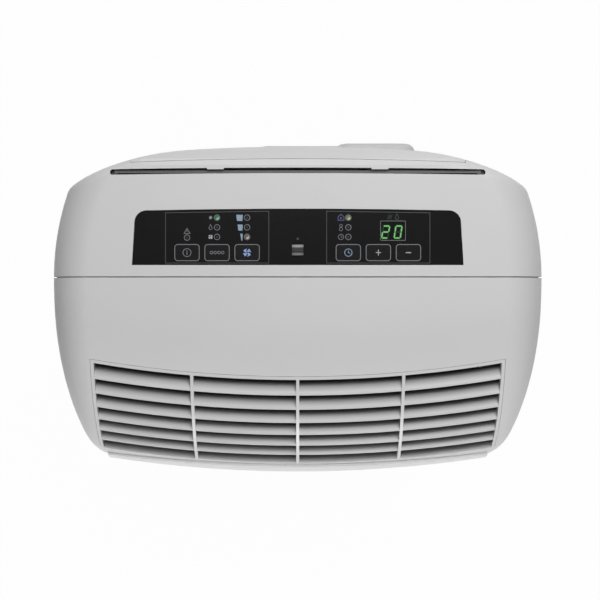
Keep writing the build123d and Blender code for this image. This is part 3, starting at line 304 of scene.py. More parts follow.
# %% Gloss blacks
def polished(name, tone, roughness, specular, ripple=0.02 * mm):
    """Polished dark plastic with faint dust in its tone."""
    finish = Finish(name, {"Roughness": roughness, "Specular IOR Level": specular})
    dust = finish.noise(1.2 * mm, 3.0)
    base = tuple(channel * 0.85 for channel in tone[:3]) + (1.0,)
    dusty = tuple(channel * 1.2 + 0.0006 for channel in tone[:3]) + (1.0,)
    finish.link("Base Color", finish.blend(dust, base, dusty))
    finish.link("Roughness", roughness + dust * 0.06)
    finish.relief(finish.noise(25 * mm, 1.0), ripple)
    return keep(name, finish)


polished("fascia_gloss", colour(14, 14, 15), 0.12, 0.09)
polished("key_gloss", colour(16, 16, 18), 0.18, 0.10)
polished("smoked_window", colour(8, 11, 9), 0.10, 0.09)
print("gloss blacks ready")

# %% [markdown]
# Inside the machine there is bare metal: drawn copper pipes, rolled fins, zinc-coated sheet
# and enamelled shells. Metal shows how it was made as streaks, so its roughness follows a
# noise that is stretched along the way it was drawn.

# %% Metals and rubber
def drawn_metal(name, tone, roughness, streak, tarnish=0.15):
    """Metal with streaks along one axis and a little tarnish."""
    finish = Finish(name, {"Metallic": 1.0})
    lines = finish.noise(1.0, 3.0, finish.stretched(*streak))
    patches = finish.noise(18 * mm, 3.0)
    dull = tuple(channel * (1 - tarnish) for channel in tone[:3]) + (1.0,)
    finish.link("Base Color", finish.blend(patches, dull, tone))
    finish.link("Roughness", roughness + lines * 0.2)
    finish.relief(lines, 0.02 * mm)
    return keep(name, finish)


def enamelled(name, tone, roughness):
    """Baked enamel on a pressed shell: a soft orange-peel relief."""
    finish = Finish(name, {"Coat Weight": 0.4, "Coat Roughness": 0.2})
    peel = finish.noise(2.5 * mm, 2.0)
    darker = tuple(channel * 0.8 for channel in tone[:3]) + (1.0,)
    finish.link("Base Color", finish.blend(finish.noise(40 * mm, 3.0), darker, tone))
    finish.link("Roughness", roughness + peel * 0.1)
    finish.relief(peel, 0.05 * mm)
    return keep(name, finish)


def rubbery(name, tone, roughness):
    """Dull rubber with a powdery bloom."""
    finish = Finish(name, {"Specular IOR Level": 0.3})
    bloom = finish.noise(9 * mm, 4.0)
    lighter = tuple(channel * 1.5 + 0.004 for channel in tone[:3]) + (1.0,)
    finish.link("Base Color", finish.blend(bloom, tone, lighter))
    finish.link("Roughness", roughness + bloom * 0.12)
    finish.relief(finish.noise(0.8 * mm, 2.0), 0.03 * mm)
    return keep(name, finish)


drawn_metal("zinc_steel", colour(176, 180, 184), 0.28, (60, 60, 400))
drawn_metal("fin_metal", colour(206, 208, 210), 0.30, (40, 40, 900))
drawn_metal("copper_tube", colour(200, 120, 84), 0.22, (300, 300, 40), tarnish=0.3)
drawn_metal("screw_metal", colour(170, 172, 176), 0.30, (900, 900, 60))
enamelled("motor_enamel", colour(92, 94, 97), 0.35)
enamelled("compressor_enamel", colour(20, 20, 22), 0.30)
rubbery("mount_rubber", colour(36, 36, 37), 0.72)
rubbery("tyre_rubber", colour(44, 44, 46), 0.60)
print("finishes so far:", len(finishes))

# %% [markdown]
# A circuit board is green lacquer over copper tracks. The tracks run along and across the
# board, so two sets of bands, broken up by cells, stand in for the routing.

# %% Circuit board
def lacquered_board(name):
    """Green solder lacquer with slightly raised tracks."""
    finish = Finish(name, {"Roughness": 0.3})
    cells = finish.node("ShaderNodeTexVoronoi", {"distance": "MANHATTAN"},
                        {"Vector": finish.place, "Scale": 1 / (7 * mm)})
    tracks = (cells * 6.0).math("FRACT").above(0.62)
    lacquer, track = colour(12, 66, 40), colour(34, 104, 62)
    finish.link("Base Color", finish.blend(tracks, lacquer, track))
    finish.link("Roughness", 0.26 + finish.noise(4 * mm) * 0.14)
    finish.relief(tracks, 0.04 * mm)
    return keep(name, finish)


lacquered_board("board_lacquer")
print("board finish ready")

# %% [markdown]
# Each CAD node names a material slot in the record, and each slot gets one finish here. The
# nodes come as loose triangles. A copy whose triangles are joined can be shaded smooth, with
# the true edges kept sharp, so the copy stands in for the node.

# %% Dress the CAD nodes
slot_finish = {
    "casing": "casing_plastic", "grille": "louvre_plastic", "fascia": "fascia_gloss",
    "key": "key_gloss", "window": "smoked_window", "circuit_board": "board_lacquer",
    "filter": "filter_plastic", "dark_plastic": "dark_plastic", "castor_body": "castor_nylon",
    "castor_tyre": "tyre_rubber", "air_guide": "duct_plastic_and_painted_shade", "zinc_steel": "zinc_steel",
    "motor_shell": "motor_enamel", "compressor_shell": "compressor_enamel",
    "rubber_mount": "mount_rubber", "fins": "fin_metal", "copper": "copper_tube",
    "screw_steel": "screw_metal",
}
node_slot = {part["node"]: part["material_slot"] for part in frame["record"]["subparts"]}
node_body = {node: body for body, nodes in frame["record"]["behaviour"]["bodies"].items()
             for node in nodes}


def give_finish(mesh, name):
    mesh.materials.clear()
    mesh.materials.append(finishes[name])


smooth_turn = 28.0


def dressed(node, turn=smooth_turn):
    """A joined, smooth-shaded copy of a CAD node, which takes its place."""
    mesh = frame["nodes"][node].data.copy()
    form = bmesh.new()
    form.from_mesh(mesh)
    bmesh.ops.remove_doubles(form, verts=form.verts, dist=0.002 * mm)
    for face in form.faces:
        face.smooth = True
    for edge in form.edges:
        edge.smooth = edge.is_manifold and edge.calc_face_angle(pi) < radians(turn)
    form.to_mesh(mesh)
    form.free()
    copy = bpy.data.objects.new(node + "_skin", mesh)
    bpy.context.scene.collection.objects.link(copy)
    weighted = copy.modifiers.new("weighted", "WEIGHTED_NORMAL")
    weighted.keep_sharp = True
    give_finish(mesh, slot_finish[node_slot[node]])
    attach(copy, node_body[node])
    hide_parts(node)
    return copy


for node, item in frame["nodes"].items():
    give_finish(item.data, slot_finish[node_slot[node]])
remade = {"casing_screws"}
lip_turn = {"outlet_grille": 50.0}
skins = {node: dressed(node, lip_turn.get(node, smooth_turn)) for node in frame["nodes"]
         if node not in remade}
print("dressed nodes:", len(skins))

# %% [markdown]
# The intake panel's inner faces get painted shade: a dark finish on every face that looks into
# the machine. Through the narrow filter slot one looks down on its inner face, which would
# otherwise show as a pale streak.

# %% Painted shade inside the intake panel
facing_out = 0.3
rim_depth = 20 * mm


def painted_shade_inside(skin, finish_name):
    """Paint shade, as a dark finish, on every face that looks neither backwards nor up from the
    rim.
    """
    rim = cad_high.z - rim_depth
    # The second finish is painted shade for the faces that look into the machine.
    skin.data.materials.append(finishes[finish_name])
    inner = 0
    for face in skin.data.polygons:
        upwards = face.center.z > rim and face.normal.z > facing_out
        outside = upwards or face.normal.y > facing_out
        face.material_index = 0 if outside else 1
        inner += not outside
    return inner


print("inner faces:", painted_shade_inside(skins["intake_grille"], "duct_plastic_and_painted_shade"))

# %% [markdown]
# What repeats is laid out by Geometry Nodes: one small form, set down many times. The tree is
# built here with named sizes, so that a row of fins or threads can be tried at another pitch.
# Its result is made a plain mesh at once, because an exporter drops instances.

# %% Geometry Nodes kit
class Layout:
    """A Geometry Nodes tree in the making, with named sizes."""

    def __init__(self, name, sizes):
        self.name = name
        self.tree = bpy.data.node_groups.new(name, "GeometryNodeTree")
        self.sockets = {}
        self.socket("Geometry", "INPUT", "NodeSocketGeometry")
        self.socket("Geometry", "OUTPUT", "NodeSocketGeometry")
        for size, value in sizes.items():
            kind = "NodeSocketFloat" if isinstance(value, float) else "NodeSocketVector"
            self.sockets[size] = self.socket(size, "INPUT", kind).identifier
        self.sizes = sizes
        self.entry = add_node(self.tree, "NodeGroupInput")

    def socket(self, name, side, kind):
        return self.tree.interface.new_socket(name, in_out=side, socket_type=kind)

    def size(self, name):
        return Value(self.tree, self.entry.outputs[name])

    def node(self, kind, settings=None, inputs=None, output=0):
        made = add_node(self.tree, kind, settings, inputs)
        return Value(self.tree, made.outputs[output])

    def vector(self, x, y, z):
        return self.node("ShaderNodeCombineXYZ", {}, {"X": x, "Y": y, "Z": z})

    def bar(self, x, y, z):
        """A plain bar, centred, as a form to be repeated."""
        return self.node("GeometryNodeMeshCube", {}, {"Size": self.vector(x, y, z)})

    def moved(self, form, place):
        inputs = {"Geometry": form, "Translation": place}
        return self.node("GeometryNodeTransform", {}, inputs)

    def row(self, form, count, start, step):
        """The form, set down at even steps along a line."""
        inputs = {"Count": count, "Start Location": start, "Offset": step}
        points = self.node("GeometryNodeMeshLine", {}, inputs)
        return self.node("GeometryNodeInstanceOnPoints", {}, {"Points": points, "Instance": form})

    def joined(self, *forms):
        join = add_node(self.tree, "GeometryNodeJoinGeometry")
        for form in forms:
            self.tree.links.new(form.socket, join.inputs[0])
        return Value(self.tree, join.outputs[0])

    def close(self, form, finish_name):
        """End the tree: real geometry, in its finish."""
        self.finish_name = finish_name
        real = self.node("GeometryNodeRealizeInstances", {}, {"Geometry": form})
        inputs = {"Geometry": real, "Material": finishes[finish_name]}
        done = self.node("GeometryNodeSetMaterial", {}, inputs)
        add_node(self.tree, "NodeGroupOutput", {}, {"Geometry": done})

    def grow(self, name, body, slot, seed=None, **changed):
        """Run the tree with its sizes, some of them changed, and keep a plain mesh."""
        carrier = bpy.data.objects.new(name + "_carrier", seed or bpy.data.meshes.new(name))
        bpy.context.scene.collection.objects.link(carrier)
        layout = carrier.modifiers.new("layout", "NODES")
        layout.node_group = self.tree
        for size, value in {**self.sizes, **changed}.items():
            layout[self.sockets[size]] = value
        bpy.context.view_layer.update()
        graph = bpy.context.evaluated_depsgraph_get()
        mesh = bpy.data.meshes.new_from_object(carrier.evaluated_get(graph))
        carrier.modifiers.clear()
        bpy.data.objects.remove(carrier)
        give_finish(mesh, self.finish_name)
        piece = bpy.data.objects.new(name, mesh)
        bpy.context.scene.collection.objects.link(piece)
        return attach(piece, body)


print("layout kit ready")

# %% [markdown]
# The dust filter is a frame with a net. A net has two sets of threads that cross. They stand
# a quarter of a millimetre out of the frame's thin sheet on both sides, and run from border
# to border, so the net can be two rows of long thin bars.

# %% Filter net
filter_low, filter_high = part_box("dust_filter")
border = 9 * mm
filter_middle = (filter_low + filter_high) / 2
net_sizes = {"Middle": tuple(filter_middle), "Wide": filter_high.x - filter_low.x - 2 * border,
             "Tall": filter_high.z - filter_low.z - 2 * border, "Pitch": 3 * mm,
             "Thread": 0.5 * mm, "Depth": 1.1 * mm}
net = Layout("filter_net", net_sizes)
wide, tall, pitch = net.size("Wide"), net.size("Tall"), net.size("Pitch")
thread, depth = net.size("Thread"), net.size("Depth")
uprights = net.row(net.bar(thread, depth, tall), wide / pitch,
                   net.vector(wide * -0.5 + pitch * 0.5, 0.0, 0.0), net.vector(pitch, 0.0, 0.0))
levels = net.row(net.bar(wide, depth * 0.8, thread), tall / pitch,
                 net.vector(0.0, 0.0, tall * -0.5 + pitch * 0.5), net.vector(0.0, 0.0, pitch))
net.close(net.moved(net.joined(uprights, levels), net.size("Middle")), "filter_thread")
filter_net = net.grow("filter_net", "filter", "filter")
print("filter net faces:", len(filter_net.data.polygons))

# %% [markdown]
# A coil is a stack of thin aluminium fins on copper tubes. The solid stands for the whole
# block, and this row of fins stands a little out of its front and back, which is all of them
# that one sees between the slats.

# %% Coil fins
fin_sizes = {"Middle": (0.0, 0.0, 0.0), "Wide": 296 * mm, "Deep": 30 * mm, "Tall": 100 * mm,
             "Pitch": 2.4 * mm, "Thick": 0.35 * mm}
fins = Layout("coil_fins", fin_sizes)
wide, pitch = fins.size("Wide"), fins.size("Pitch")
fin = fins.bar(fins.size("Thick"), fins.size("Deep"), fins.size("Tall"))
fin_row = fins.row(fin, wide / pitch, fins.vector(wide * -0.5 + pitch * 0.5, 0.0, 0.0),
                   fins.vector(pitch, 0.0, 0.0))
fins.close(fins.moved(fin_row, fins.size("Middle")), "fin_metal")
fin_proud, plate_lip = 0.5 * mm, 3 * mm
for coil in ("cold_coil", "hot_coil"):
    low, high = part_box(coil)
    deep = high.y - low.y - 2 * plate_lip + 2 * fin_proud
    tall = high.z - low.z - 2 * plate_lip - 2 * fin_proud
    made = fins.grow(coil + "_fins", "root", "fins", Middle=tuple((low + high) / 2), Deep=deep,
                     Tall=tall)
    print(coil, "fin faces:", len(made.data.polygons))

# %% [markdown]
# The casing screws have a cross recess. The head is a disc with a chamfer, and two crossed
# bars are cut out of it by a boolean. The tree sets one down on each point that it is given,
# turned to the direction that is stored with the point.

# %% Casing screws
def screw_places():
    """Middle of each screw's head face and the way it points, measured on the solids."""
    form = bmesh.new()
    form.from_mesh(frame["nodes"]["casing_screws"].data)
    flats = {}
    for face in form.faces:
        flats.setdefault(tuple(round(part, 2) for part in face.normal), []).append(face)
    places = []
    for faces in flats.values():
        areas = [face.calc_area() for face in faces]
        middle = sum((face.calc_center_median() * area for face, area in zip(faces, areas)),
                     Vector()) / sum(areas)
        way = faces[0].normal.copy()
        if sum(areas) > 25 * mm * mm and middle.dot(way) > 0:
            places.append((middle, way))
    form.free()
    return sorted(places, key=lambda place: tuple(place[0]))


screw_sizes = {"Head": 4 * mm, "Thick": 2.2 * mm, "Shank": 2 * mm, "Length": 9.6 * mm,
               "Recess": 0.9 * mm}
screw = Layout("cross_screws", screw_sizes)
head, thick, shank = screw.size("Head"), screw.size("Thick"), screw.size("Shank")
length, recess = screw.size("Length"), screw.size("Recess")
flat = screw.node("GeometryNodeMeshCylinder", {}, {"Vertices": 32, "Radius": head,
                                                   "Depth": thick * 0.6})
dome = screw.node("GeometryNodeMeshCone", {}, {"Vertices": 32, "Radius Top": head * 0.72,
                                               "Radius Bottom": head, "Depth": thick * 0.4})
stem = screw.node("GeometryNodeMeshCylinder", {}, {"Vertices": 20, "Radius": shank,
                                                   "Depth": length})
flat = screw.moved(flat, screw.vector(0.0, 0.0, thick * -0.7))
dome = screw.moved(dome, screw.vector(0.0, 0.0, thick * -0.4))
stem = screw.moved(stem, screw.vector(0.0, 0.0, thick * -1.0 - length * 0.5))
slots = screw.joined(screw.bar(head * 1.1, recess, thick * 0.9),
                     screw.bar(recess, head * 1.1, thick * 0.9))
cut = add_node(screw.tree, "GeometryNodeMeshBoolean", {"operation": "DIFFERENCE"},
               {"Mesh 1": screw.joined(flat, dome, stem), "Mesh 2": slots})
way = screw.node("GeometryNodeInputNamedAttribute", {"data_type": "FLOAT_VECTOR"},
                 {"Name": "way"})
turn = screw.node("FunctionNodeAlignRotationToVector", {"axis": "Z"}, {"Vector": way})
spread = screw.node("GeometryNodeInstanceOnPoints", {},
                    {"Points": screw.entry.outputs["Geometry"], "Instance": cut.outputs[0],
                     "Rotation": turn})
screw.close(spread, "screw_metal")

places = screw_places()
screw_seed = bpy.data.meshes.new("screw_seed")
screw_seed.from_pydata([place for place, axis in places], [], [])
directions = screw_seed.attributes.new("way", "FLOAT_VECTOR", "POINT")
for item, (place, axis) in zip(directions.data, places):
    item.vector = axis
screws = screw.grow("cross_screws", "root", "screw_steel", seed=screw_seed)
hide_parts("casing_screws")
print("screws:", len(places), "faces:", len(screws.data.polygons))

# %% [markdown]
# The fascia is printed from behind: thin grey frames, key outlines and small symbols. Each
# mark is a flat outline in millimetres, laid a hair above the surface it belongs to. A key's
# own marks ride with the key.

# %% Drawing kit
def stroke(points, width, closed=False):
    """A line of even width through the points, as four-sided faces."""
    count = len(points)
    sides = []
    for index, point in enumerate(points):
        here = Vector(point)
        before = here - Vector(points[index - 1]) if closed or index else None
        after = Vector(points[(index + 1) % count]) - here if closed or index < count - 1 else None
        before = (before or after).normalized()
        after = (after or before).normalized()
        along = (before + after).normalized()
        across = Vector((-along.y, along.x)) * (width / 2 / max(along.dot(after), 0.3))
        sides.append((here - across, here + across))
    last = count if closed else count - 1
    return [[sides[i][0], sides[(i + 1) % count][0], sides[(i + 1) % count][1], sides[i][1]]
            for i in range(last)]


def arc(x, y, radius, start=0.0, end=360.0, steps=24):
    """Points round a circle or a part of it, anticlockwise."""
    angles = [radians(start + (end - start) * i / steps) for i in range(steps + 1)]
    return [(x + radius * cos(a), y + radius * sin(a)) for a in angles]


def ring(x, y, radius, width):
    return stroke(arc(x, y, radius)[:-1], width, closed=True)


def disc(x, y, radius, start=0.0, end=360.0):
    points = arc(x, y, radius, start, end)
    return [points[:-1] if end - start == 360.0 else points]


def rounded(x, y, length, depth, radius):
    """Points round a box with round corners."""
    corners = [(1, 1, 0), (-1, 1, 90), (-1, -1, 180), (1, -1, 270)]
    points = []
    for right, up, start in corners:
        cx = x + right * (length / 2 - radius)
        cy = y + up * (depth / 2 - radius)
        points += arc(cx, cy, radius, start, start + 90, 5)
    return points


def spun(faces, x, y, turn):
    """The same faces, turned about a point."""
    c, s = cos(radians(turn)), sin(radians(turn))
    return [[(x + (p[0] - x) * c - (p[1] - y) * s, y + (p[0] - x) * s + (p[1] - y) * c)
             for p in face] for face in faces]


print("drawing kit ready")

# %% [markdown]
# Printing ink is a thin, slightly uneven film, so its tone varies over tenths of a
# millimetre. A lamp that is lit glows by itself. One that is off shows as a faint dark lens.

# %% Inks and lamps
def ink(name, tone):
    """Screen ink with a slightly uneven film."""
    finish = Finish(name, {"Roughness": 0.45, "Specular IOR Level": 0.2})
    thin = tuple(channel * 0.75 for channel in tone[:3]) + (1.0,)
    finish.link("Base Color", finish.blend(finish.noise(0.5 * mm, 2.0), thin, tone))
    return keep(name, finish)


def glow(name, tone, strength=1.0):
    """A lit lamp or segment, a little brighter where its light spreads."""
    finish = Finish(name, {"Roughness": 0.3, "Specular IOR Level": 0.2,
                           "Emission Strength": strength})
    dim = tuple(channel * 0.7 for channel in tone[:3]) + (1.0,)
    finish.link("Base Color", finish.blend(finish.noise(0.6 * mm), dim, tone))
    finish.link("Emission Color", finish.blend(finish.noise(0.9 * mm), dim, tone))
    return keep(name, finish)


ink("ink_frame", colour(72, 72, 73))
ink("ink_grey", colour(128, 129, 132))
ink("ink_faint", colour(58, 60, 64))
ink("ink_blue", colour(150, 178, 222))
ink("ink_steel_blue", colour(140, 162, 190))
ink("ink_pale_blue", colour(148, 170, 192))
ink("ink_violet", colour(88, 87, 134))
ink("ink_white", colour(196, 197, 200))
ink("lens_off", colour(44, 44, 46))
# A painted glow in ink, drawn round the lit segments.
ink("segment_painted_glow", colour(6, 28, 8))
ink("segment_off", colour(10, 34, 12))
glow("lamp_green", colour(22, 84, 52))
glow("lamp_green_bright", colour(100, 162, 122))
glow("lamp_lime", colour(84, 92, 50))
glow("lamp_lime_bright", colour(150, 158, 118))
glow("lamp_warm", colour(70, 68, 62))
glow("lamp_warm_bright", colour(150, 144, 128))
glow("segment_lit", colour(92, 166, 86))
print("inks and lamps:", len(finishes))


# %% Artwork sheets
class Artwork:
    """Flat marks on one surface, in several inks, made into one mesh."""

    def __init__(self, name, body, level):
        self.name = name
        self.body = body
        self.level = level
        self.inks = []
        self.marks = []

    def draw(self, ink_name, *shapes):
        if ink_name not in self.inks:
            self.inks.append(ink_name)
        for faces in shapes:
            self.marks += [(face, self.inks.index(ink_name)) for face in faces]

    def print_off(self):
        form = bmesh.new()
        for face, ink_index in self.marks:
            level = self.level + ink_index * 0.004 * mm
            corners = [form.verts.new((p[0] * mm, p[1] * mm, level)) for p in face]
            made = form.faces.new(corners)
            made.material_index = ink_index
            made.normal_update()
            if made.normal.z < 0:
                made.normal_flip()
        mesh = bpy.data.meshes.new(self.name)
        form.to_mesh(mesh)
        form.free()
        for ink_name in self.inks:
            mesh.materials.append(finishes[ink_name])
        sheet = bpy.data.objects.new(self.name, mesh)
        bpy.context.scene.collection.objects.link(sheet)
        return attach(sheet, self.body)


def centre_of(node):
    """Middle of a node's box, in millimetres."""
    low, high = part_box(node)
    return tuple((low + high) / 2 / mm)


fascia_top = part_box("fascia")[1].z
film = 0.03 * mm
print("fascia top at", round(fascia_top / mm, 2), "mm")

# %% [markdown]
# Two printed frames hold the keys and their lamps, one each side of the infrared receiver.
# The lamps stand in columns above the keys that step through them.

# %% Printed frames and lamp columns
panel = Artwork("fascia_print", "root", fascia_top + film)
key_at = {name: centre_of(name + "_button") for name in
          ("power", "mode", "fan", "timer", "plus", "minus")}
frame_inner, frame_outer = 26.0, 118.8
frame_front, frame_back = 33.2, 79.8
frame_line = 0.6
for side in (-1, 1):
    x0, x1 = side * frame_inner, side * frame_outer
    corners = [(x0, frame_front), (x1, frame_front), (x1, frame_back - 1.4), (x0, frame_back)]
    panel.draw("ink_frame", stroke(corners, frame_line, closed=True))

lamp_rows = (74.0, 65.3, 56.7)
lamp_ring, lamp_lens, ring_line = 2.5, 1.9, 0.55


def lamp(x, y, lit=None):
    """A round indicator: its printed ring, and a lens that is off or lit."""
    panel.draw("ink_grey", ring(x, y, lamp_ring, ring_line))
    if lit is None:
        panel.draw("lens_off", disc(x, y, lamp_lens * 0.5))
    else:
        panel.draw(lit, disc(x, y, lamp_lens))
        panel.draw(lit + "_bright", disc(x + 0.2, y - 0.3, lamp_lens * 0.8, -140, 40))


mode_x, speed_x, clock_x = key_at["mode"][0], key_at["fan"][0], key_at["timer"][0]
lamp(mode_x, lamp_rows[0], "lamp_green")
lamp(mode_x, lamp_rows[1])
lamp(mode_x, lamp_rows[2])
lamp(speed_x, lamp_rows[0])
lamp(speed_x, lamp_rows[1])
lamp(speed_x, lamp_rows[2], "lamp_warm")
lamp(clock_x, lamp_rows[0], "lamp_lime")
lamp(clock_x, lamp_rows[1])
lamp(clock_x, lamp_rows[2])
lamp(key_at["power"][0], lamp_rows[2] - 0.6)
print("lamps drawn")

# %% [markdown]
# Beside each lamp is a small symbol. They are plain international signs: a frost star for
# cooling, a drop for drying, a fan, a house, a clock, and a triangle for a full tank.

# %% Symbols beside the lamps
symbol_gap = 5.8
fine_line = 0.45


def star(x, y, radius):
    return [face for turn in (0, 60, 120)
            for face in spun(stroke([(x - radius, y), (x + radius, y)], fine_line), x, y, turn)]


def drop(x, y, radius, width):
    tip = (x, y + radius * 2.1)
    return stroke([tip] + arc(x, y - radius * 0.2, radius, 150, 390, 14), width, closed=True)


def fan_sign(x, y, radius, blades=4):
    """Swept blades that fill a disc, with narrow gaps between them."""
    sweep, span = 38.0, 58.0
    root, steps = 0.16, 4
    blade = []
    for edge, order in ((0.0, range(steps + 1)), (span, range(steps, -1, -1))):
        for i in order:
            part = i / steps
            turn = radians(edge + sweep * (1 - part))
            reach = radius * (root + (1 - root) * part)
            blade.append((x + reach * cos(turn), y + reach * sin(turn)))
    return [face for i in range(blades) for face in spun([blade], x, y, i * 360 / blades)]


def clock_sign(x, y, radius, width):
    hands = stroke([(x, y + radius * 0.6), (x, y), (x + radius * 0.5, y - radius * 0.2)], width)
    return ring(x, y, radius, width) + hands


sign_x = mode_x - symbol_gap
panel.draw("ink_white", star(sign_x, lamp_rows[0], 1.5))
panel.draw("ink_grey", drop(sign_x, lamp_rows[1] - 0.4, 1.4, fine_line))
panel.draw("ink_white", fan_sign(sign_x, lamp_rows[2], 2.2))

sign_x = clock_x - symbol_gap - 0.8
house = [(-2.6, -2.4), (2.6, -2.4), (2.6, 0.8), (0, 3.0), (-2.6, 0.8)]
panel.draw("ink_violet",
           stroke([(sign_x + x, lamp_rows[0] + y) for x, y in house], 0.7, closed=True),
           disc(sign_x, lamp_rows[0] - 0.4, 0.9))
panel.draw("ink_grey", ring(sign_x, lamp_rows[1] + 1.5, 1.2, fine_line),
           ring(sign_x, lamp_rows[1] - 1.6, 1.5, fine_line),
           clock_sign(sign_x, lamp_rows[2], 2.4, fine_line))

power_x = key_at["power"][0]
warning = [(-2.7, -1.9), (2.7, -1.9), (0, 2.8)]
panel.draw("ink_grey",
           stroke([(power_x + x, lamp_rows[2] + 5.0 + y) for x, y in warning], 0.5, closed=True),
           stroke([(power_x, lamp_rows[2] + 6.2), (power_x, lamp_rows[2] + 4.4)], 0.5))
print("symbols drawn")

# %% [markdown]
# Three bars that shrink towards the front show the fan's speed. The numerals are slanted
# seven-segment figures in a small frame, with two faint signs behind it.

# %% Speed bars and display
bar_right = speed_x - 3.9
bar_sizes = ((5.9, 5.2, 5.6), (4.6, 4.0, 5.4), (2.2, 1.2, 6.2))
for row, (back, front, depth) in zip(lamp_rows, bar_sizes):
    y0, y1 = row - depth / 2 - 0.2, row + depth / 2 - 0.2
    shape = [(bar_right - front, y0), (bar_right - 0.3, y0), (bar_right, y1),
             (bar_right - back, y1)]
    panel.draw("ink_pale_blue", [shape])

window_x, window_y = centre_of("display_window")[:2]
window_length, window_depth = 22.4, 17.4
panel.draw("ink_grey", stroke(rounded(window_x, window_y, window_length, window_depth, 0.6),
                              fine_line, closed=True))
digit_height, digit_width, segment, slant = 10.8, 5.5, 1.0, 0.16
seven = {
    "top": ((0, 1), (1, 1)), "middle": ((0, 0.5), (1, 0.5)), "bottom": ((0, 0), (1, 0)),
    "top_left": ((0, 0.5), (0, 1)), "top_right": ((1, 0.5), (1, 1)),
    "low_left": ((0, 0), (0, 0.5)), "low_right": ((1, 0), (1, 0.5)),
}
lit_segments = {
    0: {"top", "bottom", "top_left", "top_right", "low_left", "low_right"},
    2: {"top", "middle", "bottom", "top_right", "low_left"},
}


def numeral(number, x, y):
    """One slanted figure, with its unlit segments left faint."""
    for name, (start, end) in seven.items():
        ends = []
        for side, up in (start, end):
            rise = (up - 0.5) * digit_height
            ends.append(Vector((x + (side - 0.5) * digit_width + rise * slant, y + rise)))
        inset = (ends[1] - ends[0]).normalized() * segment * 0.42
        line = stroke([ends[0] + inset, ends[1] - inset], segment)
        if name in lit_segments[number]:
            # Painted glow: a green halo round each lit segment, where its light spreads.
            panel.draw("segment_painted_glow", stroke(ends, segment * 2.4))
            panel.draw("segment_lit", line)
        else:
            panel.draw("segment_off", line)


panel.draw("segment_painted_glow")
numeral(2, window_x - 6.6, window_y - 1.2)
numeral(0, window_x + 4.6, window_y - 1.2)
sign_y = window_y + window_depth / 2 + 3.6
hatch_pitch = 1.4
hatch = [stroke([(window_x - 5 + i * hatch_pitch, sign_y - 2),
                 (window_x - 3.6 + i * hatch_pitch, sign_y + 2)], 0.5) for i in range(3)]
panel.draw("ink_faint", *hatch, drop(window_x + 3.6, sign_y - 0.4, 1.5, 0.6))
print("display drawn")

# %% [markdown]
# The receiver is a small dark window. Two moulded lens ribs under it catch the light as soft
# bars, and these highlights are painted into the window's tone as a ramp along Y, with painted
# shade towards its sides. A pip marks where to point the remote control.

# %% Receiver
eye_x, eye_y = centre_of("receiver_window")[:2]
panel.draw("ink_faint", disc(eye_x, eye_y + 10.0, 1.1))
panel.draw("ink_grey", disc(eye_x - 0.2, eye_y + 9.8, 0.6))


def lens_with_painted_light(name, middle, half):
    """Dark lens with painted highlights as two soft bars across it, and painted shade towards its
    sides.
    """
    finish = Finish(name, {"Roughness": 0.2, "Specular IOR Level": 0.2})
    split = {"Vector": finish.place}
    side = finish.node("ShaderNodeSeparateXYZ", {}, split, output=0)
    up = finish.node("ShaderNodeSeparateXYZ", {}, split, output=1)
    place = (up - (middle[1] - half[1]) * mm) / (2 * half[1] * mm)
    # Painted highlights: the two bright bands are where the ribs would catch the light.
    bars = ((0.00, 24), (0.10, 120), (0.17, 128), (0.27, 62), (0.36, 30), (0.44, 60), (0.60, 46),
            (0.70, 84), (0.80, 168), (0.90, 150), (1.00, 26))
    stops = [(at, colour(level, level, level + 1)) for at, level in bars]
    tone = finish.node("ShaderNodeValToRGB", {"stops": stops}, {"Fac": place})
    # Painted shade: the lens darkens towards its sides, as a rounded lens is shaded.
    across = (side - middle[0] * mm) / (half[0] * mm)
    edge = (1.0 - across * across).clipped(0.0, 1.0) ** 0.5
    finish.link("Base Color", finish.blend(edge, colour(20, 20, 21), tone))
    return keep(name, finish)


lens_with_painted_light("receiver_lens_painted_light", (eye_x, eye_y), (6.4, 5.2))
rib_corners = [(eye_x + x, eye_y + y) for x, y in ((-5.2, -5), (5.2, -5), (5.2, 5), (-5.2, 5))]
panel.draw("receiver_lens_painted_light", [rib_corners])
fascia_print = panel.print_off()
print("printed faces:", len(fascia_print.data.polygons))

# %% [markdown]
# Each key carries its outline and one sign. The mode key has a row of four small rings for
# the choices it steps through.

# %% Key signs
key_line, sign_line = 0.7, 0.55
key_signs = {
    "power": lambda x, y: [("ink_grey", ring(x, y, 3.6, sign_line)),
                           ("ink_grey", stroke([(x, y - 2.2), (x, y + 2.2)], sign_line))],
    "mode": lambda x, y: [("ink_grey", ring(x + (i - 1.5) * 3.4, y, 1.2, 0.55)) for i in range(4)],
    "fan": lambda x, y: [("ink_blue", fan_sign(x, y, 3.9))],
    "timer": lambda x, y: [("ink_steel_blue", clock_sign(x, y, 3.3, 0.65))],
    "plus": lambda x, y: [("ink_white", stroke([(x - 2.3, y), (x + 2.3, y)], 0.65)),
                          ("ink_white", stroke([(x, y - 2.6), (x, y + 2.6)], 0.65))],
    "minus": lambda x, y: [("ink_white", stroke([(x - 2.4, y), (x + 2.4, y)], 0.75))],
}
for name, signs in key_signs.items():
    low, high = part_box(name + "_button")
    x, y = key_at[name][:2]
    face = Artwork(name + "_print", name + "_button", high.z + film)
    edge = rounded(x, y, 22.7 - key_line, 15.3 - key_line, 2.6)
    face.draw("ink_grey", stroke(edge, key_line, closed=True))
    for ink_name, marks in signs(x, y):
        face.draw(ink_name, marks)
    face.print_off()
print("keys printed:", len(key_signs))

# %% [markdown]
# The floor is plain and pale. To the camera it is almost white by itself, but a small share
# of it is an ordinary matt surface, so that it still keeps the machine's soft shadow.

